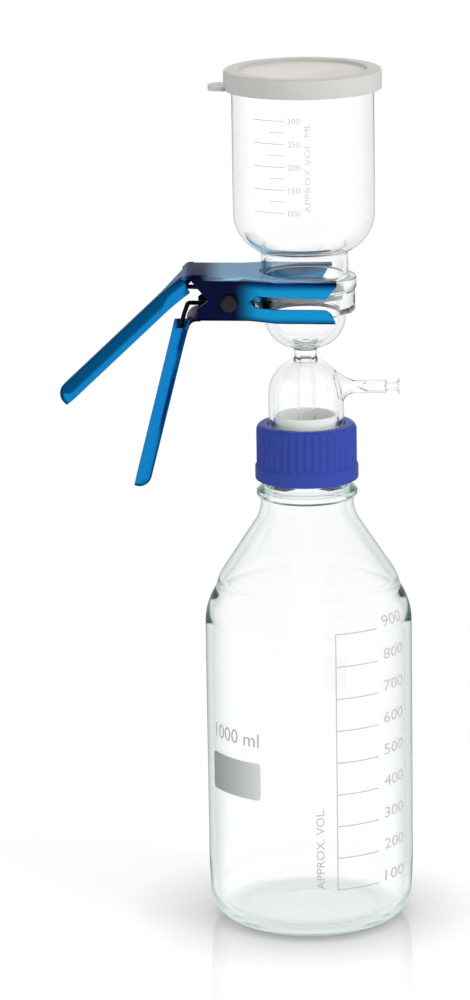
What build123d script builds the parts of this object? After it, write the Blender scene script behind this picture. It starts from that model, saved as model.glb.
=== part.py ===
from build123d import *
from math import atan, cos, pi, radians, sin, sqrt, tan
import os

# Vacuum filtration unit: a screw-neck glass bottle carries a glass filter base, held by an
# open-top screw cap and a grooved seal ring; a graduated funnel stands on the filter base, and
# a sprung sheet-metal clamp holds the two ground flanges together over a filter disc.
# Millimetres. Origin: centre of the bottle's foot. +Z up, +X along the side arm, handles at -X.

os.makedirs("parts", exist_ok=True)

# ---------------------------------------------------------------- driving dimensions
SEAT_GAP = 0.05          # clearance of flat faces that part when something moves
SLIP_GAP = 0.3           # clearance of curved faces on different bodies
PIN_GAP = 0.05           # radial running clearance round the pivot pin

# bottle
BOTTLE_R = 50.7
BOTTLE_WALL = 2.8
BOTTLE_FLOOR = 4.2
FOOT_ROUND = 14.0        # outer radius of the bottom corner
HEEL_IN = 1.3            # how far the wall draws in above the foot
HEEL_Z = 30.0            # where it starts to
FOOT_R = 33.0            # radius where the raised middle of the bottom begins
FOOT_RISE = 3.0
BODY_TOP_Z = 150.6       # end of the straight wall
CREASE_IN = 4.3          # faint step where the shoulder meets the body
CREASE_Z = 166.7
CREASE_STEP = 1.0
SHOULDER_IN = 7.1
SHOULDER_TOP_Z = 174.0
NECK_R = 22.7
NECK_BORE_R = 19.3
NECK_LOW_Z = 206.0       # where the shoulder's slope would meet the neck
NECK_ROUND = 19.0
BEAD_OUT = 1.9           # how far the bead stands out of the neck
BEAD_Z = 216.3
BEAD_H = 2.2
BEAD_SLOPE = 1.4         # height of each of its flanks
THREAD_CORE_R = 20.3
MOUTH_BORE_R = 15.6
MOUTH_Z = 239.2

# screw cap
CAP_THREAD_GAP = 2.5     # cap's inside to the bottle's thread core
CAP_WALL = 1.3
CAP_RIB = 0.45
CAP_RIBS = 40
CAP_TOP_Z = 250.3
CAP_TOP_T = 2.2
CAP_BOTTOM_Z = 223.0
CAP_HOLE_GAP = 0.4       # cap's hole to the filter base's bulb
CAP_RING_OUT = 1.1       # how far the base ring stands out of the skirt
CAP_RING_H = 6.5
CAP_EDGE_ROUND = 2.2

# seal ring
SEAL_FLOOR = 2.0
SEAL_UPSTAND_T = 1.5
SEAL_UPSTAND_H = 11.0
SEAL_GROOVE_GAP = 0.1    # either side of the glass tube
SEAL_CAP_GAP = 1.5       # seal's rim to the cap's inside

# filter base
TUBE_R = 16.6            # lower end, seated in the seal ring's groove
TUBE_WALL = 1.6
BULB_OUT = 1.75          # how far the bulb stands out of the tube
BULB_WALL = 2.0
BULB_Z = 264.6           # centre of the bulb's domed top
STEM_R = 5.4
STEM_ROUND = 2.4         # flare of the stem into the bulb and the bowl
BOWL_R = 19.6
BOWL_WALL = 2.6
BOWL_ROUND = 15.0
BOWL_Z = 303.2           # where the bowl's wall becomes straight
BOWL_SPLAY = 1.2         # chamfer between bowl and flange
BASE_FLANGE_OUT = 4.7    # how far the flange stands out of the bowl
BASE_FLANGE_Z = 306.0    # underside, where the lower jaw bears
BASE_TOP_Z = 317.1
DRIP_R = 4.5
DRIP_BORE_R = 3.0
DRIP_TIP_Z = 226.6
DRIP_TIP_CUT = 40.0      # slope of the tip, degrees
FRIT_LEDGE = 1.4         # how far the bowl's inside is let out for the frit
FRIT_T = 3.5

# side arm, lengths from the bulb's wall
ARM_Z = 267.9
ARM_R = 3.15
ARM_BORE_R = 2.15
ARM_FLARE_L = 3.65
ARM_SHOULDER_L = 20.45
ARM_TIP_R = 1.95
ARM_TIP_BORE_R = 0.7
ARM_L = 27.25
ARM_BEAD_R = 3.9
ARM_BEAD_L = 1.6
ARM_FLARE_R = 6.4
ARM_THROAT_L = 6.45      # narrowest point of the bore
ARM_THROAT_R = 0.5

# membrane and funnel
MEMBRANE_IN = 0.8        # membrane's edge to the filter base's flange
MEMBRANE_T = 0.3
FUNNEL_R = 34.2
FUNNEL_WALL = 2.0
FUNNEL_FLANGE_OUT = 3.95 # how far the flange stands out of the neck
FUNNEL_FLANGE_T = 5.8
FUNNEL_NECK_R = 21.05
FUNNEL_ROUND = 20.0      # outer radius of the rounded bottom
FUNNEL_ROUND_Z = 354.6
FUNNEL_RIM_OUT = 2.0
FUNNEL_RIM_H = 6.0
FUNNEL_TOP_Z = 422.3

# lid
LID_WALL = 1.5
LID_TOP_T = 1.65
LID_H = 9.4
LID_RECESS = 1.6
LID_PLUG_T = 1.0
TAB_REACH = 7.4
TAB_W = 17.0
TAB_T = 2.0

# clamp
SHEET = 1.6
PIVOT_OUT = 11.5         # pivot to the rim of the funnel's flange
PIVOT_Z = 314.0
PIN_R = 2.5
PIN_CAP_WALL = 1.8
PIN_CAP_T = 2.4
PIN_CAP_FLOOR = 1.25     # depth of the pin in a cap
PIN_CAP_GAP = 0.26       # cap to ear, at the cap's nearest edge
JAW_TILT = 2.0           # the upper jaw points slightly down to the bottle
JAW_PAST = 14.5          # how far the fork reaches past the glass axis
SLOT_SIDE_GAP = 0.75     # fork to glass
EAR_GAP = 0.3            # lower ear inside the upper ear
EAR_BACK_W = 17.0        # half width of the upper ears at their back and front
EAR_FRONT_W = 19.6
EAR_FRONT_X = 5.5        # from the pivot, where the plates begin to widen
FORK_ROOT_X = 20.5
FORK_ROOT_W = 25.5       # half width where the fork starts, and at its ends
FORK_TIP_W = 29.3
PLATE_FOLD = 2.0         # outer radius of the folds beside the plates
HANDLE_FOLD = 6.0        # outer radius of the folds beside the handles
HANDLE_HALF_W = 7.5
HANDLE_TAPER = 18.0      # length over which the handle narrows
HANDLE_L = 89.0
UPPER_BEND_X = -21.0     # from the pivot
UPPER_BEND_ROUND = 4.0
UPPER_HANDLE_DROP = 45.0
UPPER_HANDLE_DEPTH = 7.8
LOWER_BEND_X = -18.6
LOWER_BEND_ROUND = 4.0
LOWER_HANDLE_DROP = 75.5
LOWER_HANDLE_DEPTH = 7.2

# torsion spring
WIRE_R = 1.1
COIL_GAP = 1.8           # coil to pin
COIL_TURNS = 6.5
COIL_PITCH = 2.35
LEG_Y = 4.2              # the legs lie this far either side of the middle

# ---------------------------------------------------------------- shared sizes
CREASE_R = BOTTLE_R - CREASE_IN
SHOULDER_TOP_R = BOTTLE_R - SHOULDER_IN
CAP_INNER_R = THREAD_CORE_R + CAP_THREAD_GAP
CAP_R = CAP_INNER_R + CAP_WALL                         # bottom of the flutes
CAP_RING_R = CAP_R + CAP_RING_OUT
BULB_R = TUBE_R + BULB_OUT
CAP_HOLE_R = BULB_R + CAP_HOLE_GAP
TUBE_INNER_R = TUBE_R - TUBE_WALL
SEAL_OUTER_R = CAP_INNER_R - SEAL_CAP_GAP
SEAL_TOP_Z = CAP_TOP_Z - CAP_TOP_T - SEAT_GAP
SEAL_HOLE_R = TUBE_INNER_R - SEAL_GROOVE_GAP - SEAL_UPSTAND_T
TUBE_END_Z = MOUTH_Z + SEAT_GAP + SEAL_FLOOR
BASE_FLANGE_R = BOWL_R + BASE_FLANGE_OUT
FRIT_R = BOWL_R - BOWL_WALL + FRIT_LEDGE
MEMBRANE_R = BASE_FLANGE_R - MEMBRANE_IN
STACK_Z = BASE_TOP_Z + MEMBRANE_T                      # underside of the funnel's flange
FUNNEL_FLANGE_R = FUNNEL_NECK_R + FUNNEL_FLANGE_OUT
FUNNEL_FLANGE_Z = STACK_Z + FUNNEL_FLANGE_T            # where the upper jaw bears
FUNNEL_BORE_R = FUNNEL_R - FUNNEL_WALL
FUNNEL_RIM_R = FUNNEL_R + FUNNEL_RIM_OUT
NECK_INNER_R = FUNNEL_NECK_R - FUNNEL_WALL
LID_RIM_Z = FUNNEL_TOP_Z + SEAT_GAP
LID_TOP_Z = LID_RIM_Z + LID_TOP_T
LID_R = FUNNEL_RIM_R + SLIP_GAP + LID_WALL
PIVOT_X = -FUNNEL_FLANGE_R - PIVOT_OUT
JAW_REACH = JAW_PAST - PIVOT_X                         # pivot to the ends of the fork
COIL_R = PIN_R + COIL_GAP + WIRE_R
PIN_CAP_R = PIN_R + PIN_CAP_WALL
EAR_NEST = SHEET + EAR_GAP                             # upper ear's outside to the lower ear's


def turned(corners, rounds):
    """Solid of revolution about Z from a closed outline of (radius, height) corners."""
    outline = FilletPolyline(*corners, radius=rounds, close=True)
    return revolve(Plane.XZ * make_face(outline), axis=Axis.Z)


def turned_path(*steps):
    """The same from steps: a corner, or (corner, radius) for a bulging arc that reaches it."""
    edges = []
    here = steps[0]
    for step in steps[1:] + steps[:1]:
        if isinstance(step[0], tuple):
            there, bulge = step
            edges.append(RadiusArc(here, there, -bulge))
        else:
            there = step
            edges.append(Line(here, there))
        here = there
    return revolve(Plane.XZ * make_face(edges), axis=Axis.Z)


def rod(radius, low, high):
    """Cylinder about Z between two heights."""
    return Pos(0, 0, low) * Cylinder(radius, high - low, align=(Align.CENTER, Align.CENTER, Align.MIN))


# ---------------------------------------------------------------- glassware
def bottle():
    """Blown bottle with a raised bottom, a stepped shoulder, a beaded neck and a mouth."""
    drop = NECK_LOW_Z - SHOULDER_TOP_Z
    slope = (SHOULDER_TOP_R - NECK_R) / drop
    bead_low = BEAD_Z - BEAD_H / 2
    neck_l = bead_low - BEAD_SLOPE - NECK_LOW_Z
    neck_round = min(NECK_ROUND, 0.9 * neck_l / tan(atan(slope) / 2))
    outer = turned(
        [
            (0, FOOT_RISE),
            (FOOT_R * 0.6, FOOT_RISE),
            (FOOT_R, 0),
            (BOTTLE_R - HEEL_IN, 0),
            (BOTTLE_R, HEEL_Z),
            (BOTTLE_R, (BODY_TOP_Z + CREASE_Z) / 2),
            (CREASE_R, CREASE_Z),
            (CREASE_R - CREASE_STEP, CREASE_Z + CREASE_STEP),
            (SHOULDER_TOP_R, SHOULDER_TOP_Z),
            (NECK_R, NECK_LOW_Z),
            (NECK_R, bead_low - BEAD_SLOPE),
            (NECK_R + BEAD_OUT, bead_low),
            (NECK_R + BEAD_OUT, bead_low + BEAD_H),
            (THREAD_CORE_R, bead_low + BEAD_H + 2),
            (THREAD_CORE_R, MOUTH_Z),
            (0, MOUTH_Z),
        ],
        [0, 20, 3, FOOT_ROUND, 40, 30, 0, 0, 8, neck_round, 0.6, 0.9, 0.9, 1, 1, 0],
    )
    wall = BOTTLE_WALL
    skew = wall * sqrt(1 + slope**2)
    shoulder_low_r = SHOULDER_TOP_R - skew + slope * 4
    inner_neck_z = NECK_LOW_Z - (NECK_BORE_R - NECK_R + skew) / slope
    inner = turned(
        [
            (0, FOOT_RISE + BOTTLE_FLOOR),
            (FOOT_R * 0.6, FOOT_RISE + BOTTLE_FLOOR),
            (FOOT_R, BOTTLE_FLOOR),
            (BOTTLE_R - HEEL_IN - wall, BOTTLE_FLOOR),
            (BOTTLE_R - wall, HEEL_Z),
            (BOTTLE_R - wall, (BODY_TOP_Z + CREASE_Z) / 2 - 1),
            (shoulder_low_r, SHOULDER_TOP_Z - 4),
            (NECK_BORE_R, inner_neck_z),
            (NECK_BORE_R, BEAD_Z),
            (MOUTH_BORE_R, BEAD_Z + 6),
            (MOUTH_BORE_R, MOUTH_Z + 1),
            (0, MOUTH_Z + 1),
        ],
        [0, 20, 3, FOOT_ROUND - wall, 40, 20, 20, 14, 6, 6, 0, 0],
    )
    return outer - inner


def seal_ring():
    """Elastomer ring on the bottle's mouth with a groove for the glass tube's end."""
    low = MOUTH_Z + SEAT_GAP
    floor = low + SEAL_FLOOR
    return turned(
        [
            (SEAL_HOLE_R, low),
            (SEAL_OUTER_R, low),
            (SEAL_OUTER_R, SEAL_TOP_Z),
            (TUBE_R + SEAL_GROOVE_GAP, SEAL_TOP_Z),
            (TUBE_R + SEAL_GROOVE_GAP, floor),
            (TUBE_INNER_R - SEAL_GROOVE_GAP, floor),
            (TUBE_INNER_R - SEAL_GROOVE_GAP, floor + SEAL_UPSTAND_H),
            (SEAL_HOLE_R, floor + SEAL_UPSTAND_H),
        ],
        [0.5, 0.5, 0.8, 0.3, 0, 0, 0.5, 0.5],
    )


def screw_cap():
    """Open-top cap: annular top, fluted skirt and a plain base ring."""
    ring_top = CAP_BOTTOM_Z + CAP_RING_H
    body = turned(
        [
            (CAP_HOLE_R, CAP_TOP_Z),
            (CAP_HOLE_R, CAP_TOP_Z - CAP_TOP_T),
            (CAP_INNER_R, CAP_TOP_Z - CAP_TOP_T),
            (CAP_INNER_R, CAP_BOTTOM_Z),
            (CAP_RING_R, CAP_BOTTOM_Z),
            (CAP_RING_R, ring_top),
            (CAP_R, ring_top + 1.4),
            (CAP_R, CAP_TOP_Z),
        ],
        [0.6, 0, 0.6, 0.4, 0.6, 0.4, 0.3, CAP_EDGE_ROUND],
    )
    rib_low = ring_top + 0.8
    rib_high = CAP_TOP_Z - CAP_EDGE_ROUND
    pitch = 2 * pi * CAP_R / CAP_RIBS
    section = Polyline(
        (CAP_R - 0.6, -pitch * 0.26),
        (CAP_R + CAP_RIB, -pitch * 0.12),
        (CAP_R + CAP_RIB, pitch * 0.12),
        (CAP_R - 0.6, pitch * 0.26),
        close=True,
    )
    rib = Pos(0, 0, rib_low) * extrude(make_face(section), amount=rib_high - rib_low)
    ribs = [Rot(0, 0, 360 / CAP_RIBS * i) * rib for i in range(CAP_RIBS)]
    return body.fuse(*ribs)


def side_arm(bore):
    """The side arm along +X, as its outside or as its bore, from turned outlines."""
    inside_x = BULB_R - BULB_WALL
    throat_x = BULB_R + ARM_THROAT_L
    shoulder_x = BULB_R + ARM_SHOULDER_L
    end_x = BULB_R + ARM_L
    if bore:
        corners = [
            (0, inside_x - 2),
            (2.4, inside_x - 2),
            (1.9, throat_x - 4),
            (ARM_THROAT_R, throat_x),
            (ARM_BORE_R, throat_x + 4.5),
            (ARM_BORE_R, shoulder_x - 0.8),
            (ARM_TIP_BORE_R, shoulder_x + 1.4),
            (ARM_TIP_BORE_R, end_x + 1),
            (0, end_x + 1),
        ]
        rounds = [0, 0, 0, 0.6, 1.2, 0.8, 0.6, 0, 0]
    else:
        corners = [
            (0, inside_x),
            (ARM_FLARE_R, inside_x),
            (ARM_R, BULB_R + ARM_FLARE_L - 2.2),
            (ARM_R, shoulder_x),
            (ARM_TIP_R, shoulder_x + 1.3),
            (ARM_TIP_R, end_x - ARM_BEAD_L - 0.5),
            (ARM_BEAD_R, end_x - ARM_BEAD_L),
            (ARM_BEAD_R, end_x),
            (0, end_x),
        ]
        rounds = [0, 0, 3.5, 0.8, 0.6, 0.4, 0.2, 0.2, 0]
    return Pos(0, 0, ARM_Z) * Rot(0, 90, 0) * turned(corners, rounds)


def flare(centre_r, centre_z, radius, up):
    """Height of the flare's centre and the point where it meets a turned arc above or below."""
    rise = sqrt((radius + STEM_ROUND) ** 2 - (STEM_R + STEM_ROUND - centre_r) ** 2)
    flare_z = centre_z + up * rise
    share = radius / (radius + STEM_ROUND)
    meet_r = centre_r + (STEM_R + STEM_ROUND - centre_r) * share
    return flare_z, (meet_r, centre_z + up * rise * share)


def filter_base():
    """Flange, bowl, stem, bulb, drip tube, lower tube and side arm, fused as one glass."""
    dome_r = BULB_R - BULB_WALL
    inner_dome_z = BULB_Z + sqrt(dome_r**2 - DRIP_R**2)
    bowl_r = BOWL_R - BOWL_WALL
    bowl_round = BOWL_ROUND - BOWL_WALL
    round_r = BOWL_R - BOWL_ROUND
    drain_r = max(DRIP_BORE_R, round_r + 0.4)
    drain_z = BOWL_Z - sqrt(bowl_round**2 - (drain_r - round_r) ** 2)
    throat_z = CAP_TOP_Z - 2.6
    low_flare_z, dome_end = flare(0, BULB_Z, BULB_R, 1)
    high_flare_z, bowl_start = flare(round_r, BOWL_Z, BOWL_ROUND, -1)
    outside = turned_path(
        (0, TUBE_END_Z),
        (TUBE_R, TUBE_END_Z),
        (TUBE_R, throat_z),
        (BULB_R, throat_z + 3.2),
        (BULB_R, BULB_Z),
        (dome_end, BULB_R),
        ((STEM_R, low_flare_z), -STEM_ROUND),
        (STEM_R, high_flare_z),
        (bowl_start, -STEM_ROUND),
        ((BOWL_R, BOWL_Z), BOWL_ROUND),
        (BOWL_R, BASE_FLANGE_Z - BOWL_SPLAY),
        (BOWL_R + BOWL_SPLAY, BASE_FLANGE_Z),
        (BASE_FLANGE_R - 1.0, BASE_FLANGE_Z),
        (BASE_FLANGE_R, BASE_FLANGE_Z + 1.0),
        (BASE_FLANGE_R, BASE_TOP_Z - 0.5),
        (BASE_FLANGE_R - 0.5, BASE_TOP_Z),
        (0, BASE_TOP_Z),
    )
    cup = turned_path(
        (0, drain_z),
        (drain_r, drain_z),
        ((bowl_r, BOWL_Z), bowl_round),
        (bowl_r, BASE_TOP_Z - FRIT_T),
        (FRIT_R, BASE_TOP_Z - FRIT_T),
        (FRIT_R, BASE_TOP_Z + 1),
        (0, BASE_TOP_Z + 1),
    )
    hollow = turned_path(
        (0, TUBE_END_Z - 1),
        (TUBE_INNER_R, TUBE_END_Z - 1),
        (TUBE_INNER_R, throat_z + 0.6),
        (dome_r, throat_z + 4.0),
        (dome_r, BULB_Z),
        ((DRIP_R, inner_dome_z), dome_r),
        (0, inner_dome_z),
    )
    drip = rod(DRIP_R, DRIP_TIP_Z, inner_dome_z + 1)
    drip -= Pos(-DRIP_R, 0, DRIP_TIP_Z) * Rot(0, -DRIP_TIP_CUT, 0) * Box(
        6 * DRIP_R, 4 * DRIP_R, 6 * DRIP_R, align=(Align.CENTER, Align.CENTER, Align.MAX)
    )
    bore = rod(DRIP_BORE_R, DRIP_TIP_Z - 10, drain_z + 1)
    glass = outside + side_arm(bore=False) - hollow - cup + drip - bore
    return glass - side_arm(bore=True)


def frit_disc():
    """Fritted glass disc, flush with the ground top of the filter base."""
    return rod(FRIT_R, BASE_TOP_Z - FRIT_T, BASE_TOP_Z)


def membrane_filter():
    """Filter disc between the two ground flanges."""
    return rod(MEMBRANE_R, BASE_TOP_Z, STACK_Z)


def funnel():
    """Straight funnel with a rounded bottom, a short neck, a ground flange and a beaded rim."""
    round_r = FUNNEL_R - FUNNEL_ROUND
    inner_round = FUNNEL_ROUND - FUNNEL_WALL
    neck_z = FUNNEL_ROUND_Z - sqrt(FUNNEL_ROUND**2 - (FUNNEL_NECK_R - round_r) ** 2)
    inner_neck_z = FUNNEL_ROUND_Z - sqrt(inner_round**2 - (NECK_INNER_R - round_r) ** 2)
    rim_z = FUNNEL_TOP_Z - FUNNEL_RIM_H
    return turned_path(
        (NECK_INNER_R, STACK_Z),
        (FUNNEL_FLANGE_R - 0.8, STACK_Z),
        ((FUNNEL_FLANGE_R, STACK_Z + 0.8), 0.8),
        (FUNNEL_FLANGE_R, FUNNEL_FLANGE_Z - 0.6),
        ((FUNNEL_FLANGE_R - 0.6, FUNNEL_FLANGE_Z), 0.6),
        (FUNNEL_NECK_R, FUNNEL_FLANGE_Z),
        (FUNNEL_NECK_R, neck_z),
        ((FUNNEL_R, FUNNEL_ROUND_Z), FUNNEL_ROUND),
        (FUNNEL_R, rim_z - 2),
        (FUNNEL_RIM_R, rim_z),
        (FUNNEL_RIM_R, FUNNEL_TOP_Z - 1.2),
        ((FUNNEL_RIM_R - 1.2, FUNNEL_TOP_Z), 1.2),
        (FUNNEL_BORE_R + 0.8, FUNNEL_TOP_Z),
        ((FUNNEL_BORE_R, FUNNEL_TOP_Z - 0.8), 0.8),
        (FUNNEL_BORE_R, FUNNEL_ROUND_Z),
        ((NECK_INNER_R, inner_neck_z), -inner_round),
    )


def lid():
    """Push-on lid: dished top that plugs the funnel's bore, a skirt over its rim and a tab."""
    low = LID_TOP_Z - LID_H
    floor_z = LID_TOP_Z - LID_RECESS
    plug_r = FUNNEL_BORE_R - SLIP_GAP
    dish_r = plug_r - LID_PLUG_T
    body = turned(
        [
            (0, floor_z),
            (dish_r, floor_z),
            (dish_r, LID_TOP_Z),
            (LID_R, LID_TOP_Z),
            (LID_R, low),
            (LID_R - LID_WALL, low),
            (LID_R - LID_WALL, LID_RIM_Z),
            (plug_r, LID_RIM_Z),
            (plug_r, floor_z - LID_TOP_T),
            (0, floor_z - LID_TOP_T),
        ],
        [0, 0.3, 0.5, 1.3, 0.5, 0.4, 0, 0, 0.4, 0],
    )
    tab = FilletPolyline(
        (-LID_R + LID_WALL / 2, TAB_W / 2),
        (-LID_R - TAB_REACH, TAB_W / 2 - 1.5),
        (-LID_R - TAB_REACH, 1.5 - TAB_W / 2),
        (-LID_R + LID_WALL / 2, -TAB_W / 2),
        radius=[0, 5.5, 5.5, 0],
        close=True,
    )
    return body + Pos(0, 0, low) * extrude(make_face(tab), amount=TAB_T)


# ---------------------------------------------------------------- clamp
# A jaw is drawn about its pivot, X to the fork's ends and Z up, then moved to PIVOT_X, PIVOT_Z.
def plate_plan(side):
    """Plan of a jaw's plate from its (x, half width) corners, ear end first."""
    mirrored = [(x, -y) for x, y in reversed(side)]
    rounds = [0, 9, 9, 0]
    return make_face(FilletPolyline(*side, *mirrored, radius=rounds + rounds, close=True))


def handle_plan(root_half_w):
    """Plan of a handle from the bend at 0 to its round end."""
    side = [
        (-12, root_half_w),
        (0, root_half_w),
        (HANDLE_TAPER, HANDLE_HALF_W),
        (HANDLE_L, HANDLE_HALF_W),
    ]
    mirrored = [(x, -y) for x, y in reversed(side)]
    tip = HANDLE_HALF_W - 0.2
    rounds = [0, 4, 14, tip, tip, 14, 4, 0]
    return make_face(FilletPolyline(*side, *mirrored, radius=rounds, close=True))


def channel(plan, depth, fold):
    """Folded sheet channel under z = 0: a plan outline with walls that go down by depth."""
    outer = extrude(Pos(0, 0, -depth) * plan, amount=depth)
    outer = fillet(outer.faces().sort_by(Axis.Z)[-1].edges(), fold)
    inner_plan = offset(plan, amount=-SHEET, kind=Kind.INTERSECTION)
    inner = extrude(Pos(0, 0, -depth - 1) * inner_plan, amount=depth + 1 - SHEET)
    inner = fillet(inner.faces().sort_by(Axis.Z)[-1].edges(), fold - SHEET)
    return outer - inner


def side_view(corners, rounds):
    """Block with a side view given as (x, z) corners."""
    outline = FilletPolyline(*corners, radius=rounds, close=True)
    return extrude(Plane.XZ * make_face(outline), amount=60, both=True)


def bend_strip(bend_x, face_z, drop, bend_round, inward):
    """Sheet round the bend from plate to handle; inward is the side the walls are on."""
    run = (-cos(radians(drop)), -sin(radians(drop)))
    side = (run[1] * inward, -run[0] * inward)
    reach = bend_round * tan(radians(drop / 2)) + SHEET
    blend = SHEET / (1 + side[1] * inward)
    plate_end_x = bend_x + reach
    handle_end = (bend_x + run[0] * reach, face_z + run[1] * reach)
    return side_view(
        [
            (plate_end_x, face_z),
            (bend_x, face_z),
            handle_end,
            (handle_end[0] + side[0] * SHEET, handle_end[1] + side[1] * SHEET),
            (bend_x + blend * side[0], face_z + blend * (side[1] + inward)),
            (plate_end_x, face_z + inward * SHEET),
        ],
        [0, bend_round, 0, 0, bend_round + inward * SHEET, 0],
    )


def jaw(plan, walls, bend_x, face_z, drop, bend_round, depth, inward):
    """One jaw: plate with ears and flanges, bend and handle, with the eye for the pin."""
    run = (-cos(radians(drop)), 0, -sin(radians(drop)))
    outward = (run[2] * -inward, 0, run[0] * inward)
    bend_run = bend_round * tan(radians(drop / 2))
    root = Plane(origin=(bend_x, 0, face_z), x_dir=run, z_dir=outward)
    beyond = root * Box(400, 200, 200, align=(Align.MIN, Align.CENTER, Align.CENTER))
    root_half_w = (plan & (Pos(bend_x, 0, 0) * Rectangle(0.2, 200))).bounding_box().max.Y
    grip_plan = handle_plan(root_half_w)

    tall = extrude(plan, amount=80, both=True)
    strip = bend_strip(bend_x, face_z, drop, bend_round, inward)
    strip_plate = (strip & tall) - beyond
    strip_grip = strip & (root * extrude(grip_plan, amount=60, both=True)) & beyond

    shell = channel(plan, 30, PLATE_FOLD)
    if inward > 0:
        shell = mirror(shell, about=Plane.XY)
    plate = (Pos(0, 0, face_z) * shell) & walls

    grip_walls = side_view(
        [
            (bend_run, 1),
            (bend_run, -SHEET),
            (bend_run + 1.5, -SHEET),
            (bend_run + 3.5, -depth - 1),
            (HANDLE_L + 5, -depth - 1),
            (HANDLE_L + 5, 1),
        ],
        [0, 0, 0, 0, 0, 0],
    )
    grip = root * (channel(grip_plan, depth, HANDLE_FOLD) & grip_walls)
    body = strip_plate + strip_grip + plate + grip
    eye = Rot(90, 0, 0) * Cylinder(PIN_R + PIN_GAP, 80)
    return body - eye


def fork_slot(radius):
    """Open-ended slot round the glass, cut straight up."""
    return Cylinder(radius, 900) + Pos(40, 0, 0) * Box(80, 2 * radius, 900)


def clamp_upper_jaw():
    """Upper jaw: bears on the funnel's flange at the two sides of its neck."""
    slot_r = FUNNEL_NECK_R + SLOT_SIDE_GAP
    tilt = radians(JAW_TILT)
    bearing_x = sqrt(FUNNEL_FLANGE_R**2 - slot_r**2) - PIVOT_X
    under_z = (FUNNEL_FLANGE_Z + SEAT_GAP - PIVOT_Z + bearing_x * tan(tilt)) * cos(tilt)
    face_z = under_z + SHEET
    start_x = UPPER_BEND_X + UPPER_BEND_ROUND * tan(radians(UPPER_HANDLE_DROP / 2))
    plan = plate_plan(
        [
            (UPPER_BEND_X - 6, EAR_BACK_W),
            (EAR_FRONT_X, EAR_FRONT_W),
            (FORK_ROOT_X, FORK_ROOT_W),
            (JAW_REACH + 10, FORK_TIP_W),
        ]
    )
    walls = side_view(
        [
            (start_x, face_z + 1),
            (start_x, under_z),
            (-9.9, 0.2),
            (-3.5, -4.2),
            (5.0, -4.2),
            (9.0, 0.0),
            (12.5, 4.3),
            (JAW_REACH - 4.5, 4.3),
            (JAW_REACH + 0.3, under_z),
            (JAW_REACH + 0.3, face_z + 1),
        ],
        [0, 0, 2, 4, 4, 2, 3, 2, 1, 0],
    )
    body = jaw(
        plan, walls, UPPER_BEND_X, face_z, UPPER_HANDLE_DROP, UPPER_BEND_ROUND,
        UPPER_HANDLE_DEPTH, -1,
    )
    return Pos(PIVOT_X, 0, PIVOT_Z) * Rot(0, JAW_TILT, 0) * body - fork_slot(slot_r)


def clamp_lower_jaw():
    """Lower jaw: bears on the filter base's flange, its ears inside the upper jaw's."""
    slot_r = BOWL_R + BOWL_SPLAY + SLOT_SIDE_GAP
    over_z = BASE_FLANGE_Z - SEAT_GAP - PIVOT_Z
    face_z = over_z - SHEET
    start_x = LOWER_BEND_X + LOWER_BEND_ROUND * tan(radians(LOWER_HANDLE_DROP / 2))
    plan = plate_plan(
        [
            (LOWER_BEND_X - 4, EAR_BACK_W - EAR_NEST),
            (EAR_FRONT_X + 4, EAR_FRONT_W - EAR_NEST),
            (FORK_ROOT_X + 2, FORK_ROOT_W - 0.2),
            (JAW_REACH + 10, FORK_TIP_W - 0.2),
        ]
    )
    walls = side_view(
        [
            (start_x, face_z - 1),
            (JAW_REACH, face_z - 1),
            (JAW_REACH, face_z),
            (JAW_REACH - 2.4, -2.6),
            (12.0, -2.6),
            (8.5, 2.0),
            (5.0, 5.2),
            (-4.5, 5.2),
            (-9.9, 0.5),
            (start_x, -3.6),
        ],
        [0, 0, 0, 5, 3, 2, 4, 4, 2, 0],
    )
    body = jaw(
        plan, walls, LOWER_BEND_X, face_z, LOWER_HANDLE_DROP, LOWER_BEND_ROUND,
        LOWER_HANDLE_DEPTH, 1,
    )
    return Pos(PIVOT_X, 0, PIVOT_Z) * body - fork_slot(slot_r)


def ear_reach():
    """Half width across the upper ears, at the pin caps' edge nearest the fork."""
    back_x = UPPER_BEND_X - 6
    share = (PIN_CAP_R - back_x) / (EAR_FRONT_X - back_x)
    return EAR_BACK_W + (EAR_FRONT_W - EAR_BACK_W) * share


def pivot_pin():
    """Plain pin through the four ears, its ends in the caps."""
    half_l = ear_reach() + PIN_CAP_GAP + PIN_CAP_FLOOR
    return Pos(PIVOT_X, 0, PIVOT_Z) * Rot(90, 0, 0) * Cylinder(PIN_R, 2 * half_l)


def pin_cap(end):
    """Domed push-on cap; end is -1 in front and +1 at the back."""
    cap = turned(
        [
            (0, 0),
            (PIN_CAP_R, 0),
            (PIN_CAP_R, PIN_CAP_T),
            (0, PIN_CAP_T),
        ],
        [0, 0.3, 1.6, 0],
    )
    cap -= rod(PIN_R + 0.02, -1, PIN_CAP_FLOOR)
    turn = Rot(90, 0, 0) if end < 0 else Rot(-90, 0, 0)
    return Pos(PIVOT_X, end * (ear_reach() + PIN_CAP_GAP), PIVOT_Z) * turn * cap


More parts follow.
